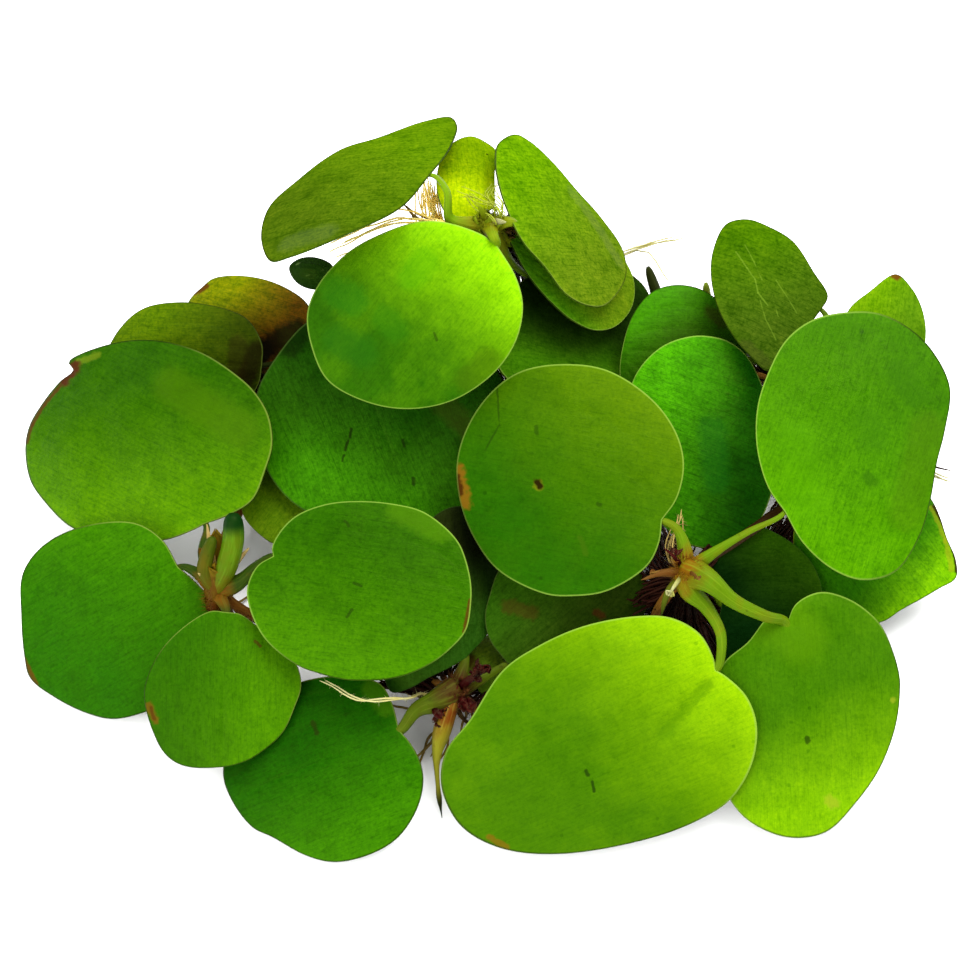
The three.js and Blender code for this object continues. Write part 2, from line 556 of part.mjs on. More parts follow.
// Root tuft: a core with a flat underside, strands that run out over the surface, and the loose roots
function rootTuft(name) {
  const middle = seen(CROWNS[name].at);
  const top = middle.z;
  const { reaches, turn } = TUFTS[name];
  const profile = [
    new THREE.Vector2(0, 0),
    new THREE.Vector2(TUFT_FOOT_RADIUS, 0),
    new THREE.Vector2(TUFT_WAIST_RADIUS, top * TUFT_WAIST_SHARE),
    new THREE.Vector2(TUFT_NECK_RADIUS, top - TUFT_NECK_DROP),
    new THREE.Vector2(0, top - TUFT_NECK_DROP),
  ];
  const core = new THREE.LatheGeometry(profile, TUFT_SIDES);
  core.rotateX(Math.PI / 2);
  core.translate(middle.x, middle.y, 0);
  const strands = [];
  reaches.forEach((reach, strand) => {
    const angle = (strand / reaches.length + turn) * 2 * Math.PI;
    const out = new THREE.Vector3(Math.cos(angle), Math.sin(angle), 0);
    const points = [
      middle.clone().setZ(top - TUFT_NECK_DROP - ROOT_TIP_RADIUS),
      middle.clone().addScaledVector(out, TUFT_WAIST_RADIUS).setZ(top * STRAND_BEND_SHARE),
      middle.clone().addScaledVector(out, reach / 2).setZ(top * STRAND_SAG_SHARE + ROOT_TIP_RADIUS),
      middle.clone().addScaledVector(out, reach).setZ(ROOT_TIP_RADIUS),
    ];
    strands.push(bar(points, taper(ROOT_FOOT_RADIUS, ROOT_TIP_RADIUS), STRAND_SIDES, STRAND_STEPS));
  });
  const neck = middle.clone().setZ(top - LOOSE_ROOT_DROP);
  const looseTaper = taper(LOOSE_ROOT_FOOT_RADIUS, LOOSE_ROOT_TIP_RADIUS);
  const loose = LOOSE_ROOTS[name].map((way) => (
    bar([neck, ...way.map(seen)], looseTaper, STRAND_SIDES, LOOSE_ROOT_STEPS + way.length)
  ));
  return joined([toSolid(core), ...strands, ...loose]).subtract(groundBlock());
}

// A block that lies below the surface, wider than the clump: it cuts the tufts level
function groundBlock() {
  const block = new THREE.BoxGeometry(GROUND_WIDTH, GROUND_WIDTH, GROUND_DEPTH);
  block.translate(0, 0, -GROUND_DEPTH / 2);
  return toSolid(block);
}

// Runner: an even stem from one crown to the next, of which the grown form is used for cutting
function runner({ from, to, way }, grow) {
  const points = [seen(CROWNS[from].at), ...way.map(seen), seen(CROWNS[to].at)];
  return bar(points, () => RUNNER_RADIUS + grow, STEM_SIDES, 2 * way.length + 2);
}

// Sprout: a spindle, widest a little above its foot
function sprout({ way, radius, tip = SPROUT_TIP_PHASE }) {
  const swell = (place) => {
    const phase = THREE.MathUtils.lerp(SPROUT_FOOT_PHASE, tip, place);
    return radius * Math.sin(Math.PI * phase);
  };
  return bar(way.map(seen), swell, STEM_SIDES, SPROUT_STEPS);
}

// The clump: each piece is cut clear of the crowns that it grows from
const clump = new THREE.Group();

function add(name, solid, material) {
  const mesh = new THREE.Mesh(toGeometry(solid), new THREE.MeshStandardMaterial(MATERIALS[material]));
  mesh.name = name;
  clump.add(mesh);
}

const clearOf = {};
for (const name of Object.keys(CROWNS)) {
  clearOf[name] = crownSolid(name, GAP);
  add(`crown_${name}`, crownSolid(name, 0), 'crown');
}
for (const leaf of LEAVES) {
  add(leaf.name, blade(leaf).add(petiole(leaf)).subtract(clearOf[leaf.crown]), leaf.colour);
}
for (const name of Object.keys(CROWNS)) {
  add(`roots_${name}`, rootTuft(name).subtract(clearOf[name]), 'root');
}
for (const spec of RUNNERS) {
  clearOf[spec.name] = runner(spec, GAP);
  add(spec.name, runner(spec, 0).subtract(clearOf[spec.from]).subtract(clearOf[spec.to]), 'runner');
}
for (const spec of SPROUTS) {
  add(spec.name, sprout(spec).subtract(clearOf[spec.from]), spec.colour);
}

export default clump;
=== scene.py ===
"""A clump of Amazon frogbit: rosettes of round floating leaves, joined by runners, heaped on a pale floor.

Tables are in picture points and millimetres, and meshes in metres.
"""

import math
import random

import bmesh
import bpy
import numpy as np
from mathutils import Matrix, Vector, noise


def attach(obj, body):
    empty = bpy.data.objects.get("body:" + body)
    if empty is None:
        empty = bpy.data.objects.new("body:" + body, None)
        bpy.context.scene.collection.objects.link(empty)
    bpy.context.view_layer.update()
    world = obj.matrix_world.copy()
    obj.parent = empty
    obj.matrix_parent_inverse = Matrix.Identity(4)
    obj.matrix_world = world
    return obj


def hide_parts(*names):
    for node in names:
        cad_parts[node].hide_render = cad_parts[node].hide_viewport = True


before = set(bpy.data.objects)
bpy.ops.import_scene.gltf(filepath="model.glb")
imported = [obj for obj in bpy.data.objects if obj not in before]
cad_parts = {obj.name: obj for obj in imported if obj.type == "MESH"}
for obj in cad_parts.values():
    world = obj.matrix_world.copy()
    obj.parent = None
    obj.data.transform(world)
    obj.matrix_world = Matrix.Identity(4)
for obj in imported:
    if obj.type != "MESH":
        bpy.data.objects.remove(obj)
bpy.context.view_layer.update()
NOISE_SEED = 7
CROWN_SEED = 11
ROOT_SEED = 31
noise.seed_set(NOISE_SEED)

# The view that the outlines were measured in: a square picture seen from the front and above
MM = 0.001
MM_PER_PIXEL = 0.128
PICTURE_WIDTH = 980
PICTURE_MIDDLE = 490
VIEW_ELEVATION = math.radians(60)
VIEW_DISTANCE = 450.0
VIEW_AIM = np.array([0.5, -0.5, 15.0])
VIEW_RIGHT = np.array([1.0, 0.0, 0.0])
VIEW_UP = np.array([0.0, math.sin(VIEW_ELEVATION), math.cos(VIEW_ELEVATION)])
VIEW_FORWARD = np.array([0.0, math.cos(VIEW_ELEVATION), -math.sin(VIEW_ELEVATION)])
VIEW_EYE = VIEW_AIM - VIEW_FORWARD * VIEW_DISTANCE
SENSOR_WIDTH = 36.0

# Leaf blades, in millimetres
LEAF_ARCH = 1.0
LEAF_MIDDLE_THICKNESS = 1.2
LEAF_RIM_THICKNESS = 0.24
PETIOLE_FOOT_SHARE = 1.15
PETIOLE_TIP_SHARE = 0.5
PETIOLE_FLARE = 0.85
PETIOLE_FLARE_LENGTH = 4.5
PETIOLE_FLATNESS = 0.72
PETIOLE_SUNK = (0.45, 0.75)
PETIOLE_INSET_SHARE = 0.12
LEAF_SPOKES = 176
UPPER_RINGS = 30
UNDER_RINGS = 9

# Crowns: a picture point and its height above the floor, and the tips of the bracts
CROWNS = {
    "top": dict(at=(489, 226, 36), bracts=[(478, 205, 40), (506, 222, 40)]),
    "right": dict(
        at=(686, 572, 20), bracts=[(650, 573, 21), (664, 548, 23), (668, 596, 21), (700, 580, 25)],
    ),
    "left": dict(at=(216, 590, 13), bracts=[(207, 524, 17), (249, 548, 16), (198, 573, 17)]),
    "front": dict(at=(455, 692, 8.5), bracts=[(488, 668, 13), (437, 719, 9), (470, 712, 10)]),
    "back_right": dict(at=(840, 400, 13), bracts=[(850, 385, 19)]),
    "back_left": dict(at=(330, 345, 13), bracts=[(345, 335, 19)]),
}

# Leaves. base, far and side are picture points with a height, and set the blade's plane: the notch where
# the petiole joins, the tip, and one side. rim goes round the outline from the notch and back to it. way
# leads the petiole from its crown to the notch, and petiole is its radius. sunk is how far the petiole's
# last two points lie under the blade.
LEAVES = [
    dict(
        name="leaf_top_left", crown="top", petiole=0.65,
        base=(431, 172, 41), far=(282, 195, 34), side=(347, 233, 44), way=[(450, 219, 38), (447, 192, 41)],
        rim=[(401, 206), (347, 233), (290, 256), (270, 260), (261, 240), (268, 208), (297, 180), (339, 150),
             (378, 137), (424, 121), (451, 117), (457, 125), (448, 150)],
    ),
    dict(
        name="leaf_top_behind", crown="top", petiole=0.5,
        base=(481, 214, 35.5), far=(471, 136, 31), side=(505, 165, 31.5), way=[],
        rim=[(462, 219), (446, 212), (438, 194), (437, 174), (443, 154), (455, 141), (471, 136), (486, 142),
             (497, 152), (495, 172), (495, 192), (494, 206)],
    ),
    dict(
        name="leaf_top_right", crown="top", petiole=0.6,
        base=(512, 220, 38.5), far=(608, 228, 22), side=(588, 305, 30.5), way=[],
        rim=[(501, 190), (496, 162), (499, 143), (515, 134), (530, 141), (555, 164), (578, 191), (601, 217),
             (624, 252), (625, 280), (605, 305), (588, 305), (567, 294), (545, 266), (524, 242)],
    ),
    dict(
        name="leaf_top_right_under", crown="top", petiole=0.6,
        base=(510, 240, 33), far=(628, 262, 16), side=(573, 320, 27), way=[],
        rim=[(527, 272), (550, 300), (573, 320), (596, 330), (616, 326), (632, 307), (634, 280), (618, 250),
             (590, 228), (555, 218), (525, 224)],
    ),
    dict(
        name="leaf_top_front", crown="top", petiole=0.6,
        base=(497, 245, 38), far=(369, 403, 27.5), side=(307, 314, 33), way=[(494, 238, 39)],
        rim=[(481, 234), (444, 222), (416, 222), (378, 235), (347, 253), (318, 285), (307, 314), (312, 349),
             (328, 381), (369, 403), (411, 409), (454, 400), (494, 373), (516, 341), (523, 306), (516, 277)],
    ),
    dict(
        name="leaf_top_lowest", crown="top", petiole=0.6,
        base=(530, 275, 25), far=(645, 320, 11.5), side=(565, 385, 21), way=[(503, 252, 32.5)],
        rim=[(560, 264), (600, 262), (628, 272), (648, 292), (652, 325), (640, 358), (610, 382), (570, 392),
             (525, 390), (498, 365), (500, 320), (513, 290)],
    ),
    dict(
        name="leaf_right_back", crown="right", petiole=0.5,
        base=(785, 512, 23), far=(847, 312, 31), side=(945, 431, 25), way=[(718, 550, 22), (748, 532, 22.5)],
        rim=[(768, 487), (757, 448), (757, 410), (766, 378), (786, 340), (812, 320), (847, 312), (878, 313),
             (908, 327), (932, 350), (950, 387), (945, 431), (937, 463), (931, 498), (919, 538), (895, 572),
             (862, 580), (832, 569), (803, 543)],
    ),
    dict(
        name="leaf_right_front", crown="right", petiole=1.0, sunk=(0.3, 0.3),
        base=(787, 624, 15.5), far=(801, 838, 2), side=(900, 695, 10),
        way=[(708, 581, 21.5), (733, 601, 20), (764, 616, 18)],
        rim=[(796, 604), (820, 592), (847, 598), (870, 613), (884, 630), (899, 672), (900, 695), (895, 729),
             (879, 770), (855, 804), (828, 831), (801, 838), (774, 834), (742, 815), (718, 775), (710, 725),
             (722, 666), (748, 642), (772, 615)],
    ),
    dict(
        name="leaf_front_large", crown="right", petiole=0.8,
        base=(716, 670, 15), far=(441, 785, 6), side=(600, 850, 3),
        way=[(689, 590, 19.8), (705, 606, 18.5), (720, 632, 17.5), (721, 652, 16.3)],
        rim=[(714, 659), (700, 634), (672, 618), (639, 616), (584, 626), (538, 646), (503, 670), (469, 721),
             (446, 751), (441, 785), (460, 825), (500, 848), (560, 854), (648, 839), (699, 820), (731, 799),
             (752, 764), (757, 726), (747, 697), (727, 677)],
    ),
    dict(
        name="leaf_centre", crown="right", petiole=0.6,
        base=(662, 520, 23), far=(456, 480, 21), side=(561, 364, 28),
        way=[(684, 545, 21.5), (676, 528, 22.5)],
        rim=[(677, 498), (684, 465), (677, 434), (653, 400), (607, 370), (561, 364), (521, 371), (494, 389),
             (470, 421), (457, 460), (460, 502), (475, 540), (499, 571), (545, 594), (574, 596), (607, 591),
             (647, 566), (659, 543)],
    ),
    dict(
        name="leaf_right_under", crown="right", petiole=0.6,
        base=(722, 604, 9.5), far=(822, 600, 8), side=(760, 524, 10), way=[(710, 578, 17)],
        rim=[(708, 572), (718, 540), (748, 524), (780, 535), (804, 553), (816, 570), (822, 592), (815, 625),
             (790, 655), (755, 672), (728, 668), (716, 640)],
    ),
    dict(
        name="leaf_left_back", crown="left", petiole=0.6,
        base=(204, 524, 14), far=(27, 440, 8), side=(153, 340, 20), way=[(203, 552, 14.5)],
        rim=[(190, 531), (164, 540), (125, 543), (97, 537), (69, 526), (43, 500), (30, 480), (25, 450),
             (29, 426), (43, 402), (60, 381), (73, 370), (68, 362), (109, 344), (153, 340), (200, 352),
             (240, 378), (256, 394), (268, 415), (272, 444), (265, 470), (252, 500), (228, 515)],
    ),
    dict(
        name="leaf_left_side", crown="left", petiole=0.5,
        base=(178, 567, 13), far=(24, 655, 3.5), side=(100, 718, 1.5), way=[(196, 572, 14)],
        rim=[(162, 540), (138, 524), (107, 522), (66, 532), (38, 550), (22, 575), (21, 615), (24, 655),
             (30, 678), (54, 697), (86, 713), (113, 719), (145, 712), (180, 694), (205, 660), (212, 625),
             (208, 598), (194, 581)],
    ),
    dict(
        name="leaf_left_front", crown="left", petiole=0.5,
        base=(226, 612, 13.5), far=(223, 767, 5), side=(298, 690, 9.8), way=[],
        rim=[(211, 611), (190, 622), (165, 645), (150, 670), (144, 694), (150, 724), (165, 754), (184, 766),
             (223, 767), (246, 761), (264, 750), (283, 732), (295, 706), (301, 687), (298, 668), (283, 645),
             (256, 625), (240, 614)],
    ),
    dict(
        name="leaf_left_right", crown="left", petiole=0.7,
        base=(273, 556, 18.5), far=(471, 590, 20), side=(349, 680, 15),
        way=[(238, 583, 14.5), (257, 566, 16.5)],
        rim=[(272, 547), (281, 530), (297, 515), (326, 504), (361, 501), (395, 504), (422, 511), (445, 527),
             (459, 543), (466, 560), (471, 583), (471, 604), (466, 630), (450, 649), (430, 664), (398, 677),
             (349, 680), (318, 673), (295, 664), (265, 639), (250, 610), (247, 588), (257, 566)],
    ),
    dict(
        name="leaf_front_left", crown="front", petiole=1.0,
        base=(399, 730, 8.5), far=(231, 799, 1.3), side=(335, 862, 1.3),
        way=[(436, 701, 9.4), (416, 710, 9.4)],
        rim=[(410, 743), (420, 762), (423, 781), (417, 808), (399, 836), (373, 853), (335, 862), (307, 856),
             (272, 837), (252, 827), (231, 799), (223, 773), (232, 735), (262, 700), (300, 682), (340, 676),
             (379, 683), (391, 701)],
    ),
    dict(
        name="leaf_front_back", crown="front", petiole=0.6,
        base=(466, 658, 9.5), far=(455, 506, 16), side=(415, 560, 14.6), way=[],
        rim=[(449, 668), (428, 678), (410, 688), (392, 692), (384, 672), (398, 630), (410, 590), (415, 555),
             (427, 523), (455, 506), (480, 514), (495, 535), (502, 565), (498, 600), (490, 630)],
    ),
    dict(
        name="leaf_front_right", crown="front", petiole=0.6,
        base=(508, 664, 9.5), far=(625, 560, 15), side=(490, 594, 14.2), way=[],
        rim=[(490, 640), (485, 617), (490, 594), (500, 569), (530, 550), (575, 542), (620, 552), (645, 576),
             (648, 606), (618, 640), (580, 664), (535, 674)],
    ),
    dict(
        name="leaf_front_small", crown="front", petiole=0.5,
        base=(474, 686, 6.5), far=(526, 660, 5), side=(495, 637, 6.5), way=[],
        rim=[(464, 664), (472, 646), (488, 635), (510, 637), (524, 652), (526, 672), (512, 692), (492, 700)],
    ),
    dict(
        name="leaf_back_right_low", crown="back_right", petiole=0.6,
        base=(852, 468, 11), far=(950, 580, 6), side=(870, 622, 5), way=[],
        rim=[(880, 460), (910, 475), (932, 500), (940, 517), (947, 538), (956, 560), (956, 578), (940, 588),
             (921, 599), (901, 610), (884, 621), (862, 624), (836, 612), (812, 590), (796, 560), (794, 530),
             (806, 502), (830, 480)],
    ),
    dict(
        name="leaf_back_right_tip", crown="back_right", petiole=0.5,
        base=(875, 380, 19), far=(896, 274, 24), side=(926, 335, 21), way=[],
        rim=[(856, 368), (845, 340), (848, 311), (870, 291), (896, 274), (911, 287), (922, 308), (926, 335),
             (919, 362), (900, 380)],
    ),
    dict(
        name="leaf_back_right_high", crown="back_right", petiole=0.6,
        base=(822, 308, 25), far=(713, 262, 25), side=(768, 370, 25.5), way=[(838, 345, 22)],
        rim=[(828, 296), (814, 272), (793, 241), (768, 226), (747, 219), (726, 224), (713, 250), (711, 276),
             (718, 307), (735, 338), (753, 358), (768, 370), (786, 350), (808, 326)],
    ),
    dict(
        name="leaf_back_right_wide", crown="back_right", petiole=0.6,
        base=(775, 452, 16.5), far=(635, 400, 20), side=(710, 548, 12), way=[],
        rim=[(772, 420), (762, 385), (747, 356), (730, 342), (715, 337), (692, 336), (661, 347), (635, 376),
             (626, 420), (635, 470), (655, 515), (685, 543), (720, 548), (752, 532), (771, 495)],
    ),
    dict(
        name="leaf_back_right_behind", crown="back_right", petiole=0.6,
        base=(748, 358, 17), far=(622, 350, 19), side=(673, 285, 21.5), way=[],
        rim=[(738, 318), (713, 296), (695, 287), (673, 285), (652, 292), (634, 313), (623, 345), (620, 376),
             (630, 408), (655, 430), (690, 435), (722, 418), (742, 388)],
    ),
    dict(
        name="leaf_back_left_wide", crown="back_left", petiole=0.6,
        base=(340, 322, 22), far=(420, 524, 13), side=(258, 430, 16.5), way=[],
        rim=[(320, 316), (302, 326), (272, 363), (257, 393), (257, 435), (268, 473), (300, 508), (345, 522),
             (400, 525), (455, 515), (495, 488), (512, 440), (508, 392), (482, 352), (430, 324), (375, 314)],
    ),
    dict(
        name="leaf_back_left_brown", crown="back_left", petiole=0.5,
        base=(312, 345, 12.5), far=(188, 305, 10), side=(246, 276, 14), way=[],
        rim=[(312, 325), (307, 304), (280, 285), (246, 276), (214, 278), (203, 286), (188, 303), (192, 325),
             (205, 348), (235, 368), (270, 374), (300, 362)],
    ),
    dict(
        name="leaf_back_left_olive", crown="back_left", petiole=0.5,
        base=(262, 365, 14.5), far=(108, 365, 11), side=(180, 302, 16.5), way=[(290, 360, 14)],
        rim=[(262, 345), (248, 320), (226, 309), (180, 302), (140, 310), (112, 340), (104, 372), (115, 405),
             (150, 428), (195, 430), (235, 412), (258, 385)],
    ),
    dict(
        name="leaf_back_left_under", crown="back_left", petiole=0.5,
        base=(330, 440, 12), far=(258, 530, 9.5), side=(345, 520, 9.5), way=[(332, 390, 13)],
        rim=[(300, 436), (266, 456), (246, 485), (242, 511), (257, 532), (280, 546), (310, 546), (338, 530),
             (352, 500), (352, 465)],
    ),
    dict(
        name="leaf_back_left_small", crown="back_left", petiole=0.4,
        base=(336, 276, 24), far=(290, 268, 24), side=(312, 257, 25), way=[(325, 318, 18.5)],
        rim=[(331, 264), (314, 257), (298, 259), (289, 267), (294, 280), (306, 288), (323, 289)],
    ),
]

# Colours that leaves share, as eight-bit values
# The rim colours are partly the blade's own pale margin and partly painted sheen along its edge, and the
# dark rim colour is painted shade on the shaded side of a rim
OLIVE_RIM = (150, 175, 70)
PALE_RIM = (170, 212, 80)
SHADED_RIM = (44, 48, 12)
BROWN = (92, 48, 12)
ORANGE = (150, 95, 20)
DARK = (18, 40, 6)
CRACK = (28, 62, 6)
YELLOW = (176, 190, 40)
# Painted sheen along the ridges of wrinkles
WRINKLE_SHEEN = (140, 176, 50)


def chain(points, radius, colour, strength):
    """Marks that follow each other along a line of picture points"""
    return [(start, end, radius, colour, strength) for start, end in zip(points, points[1:])]
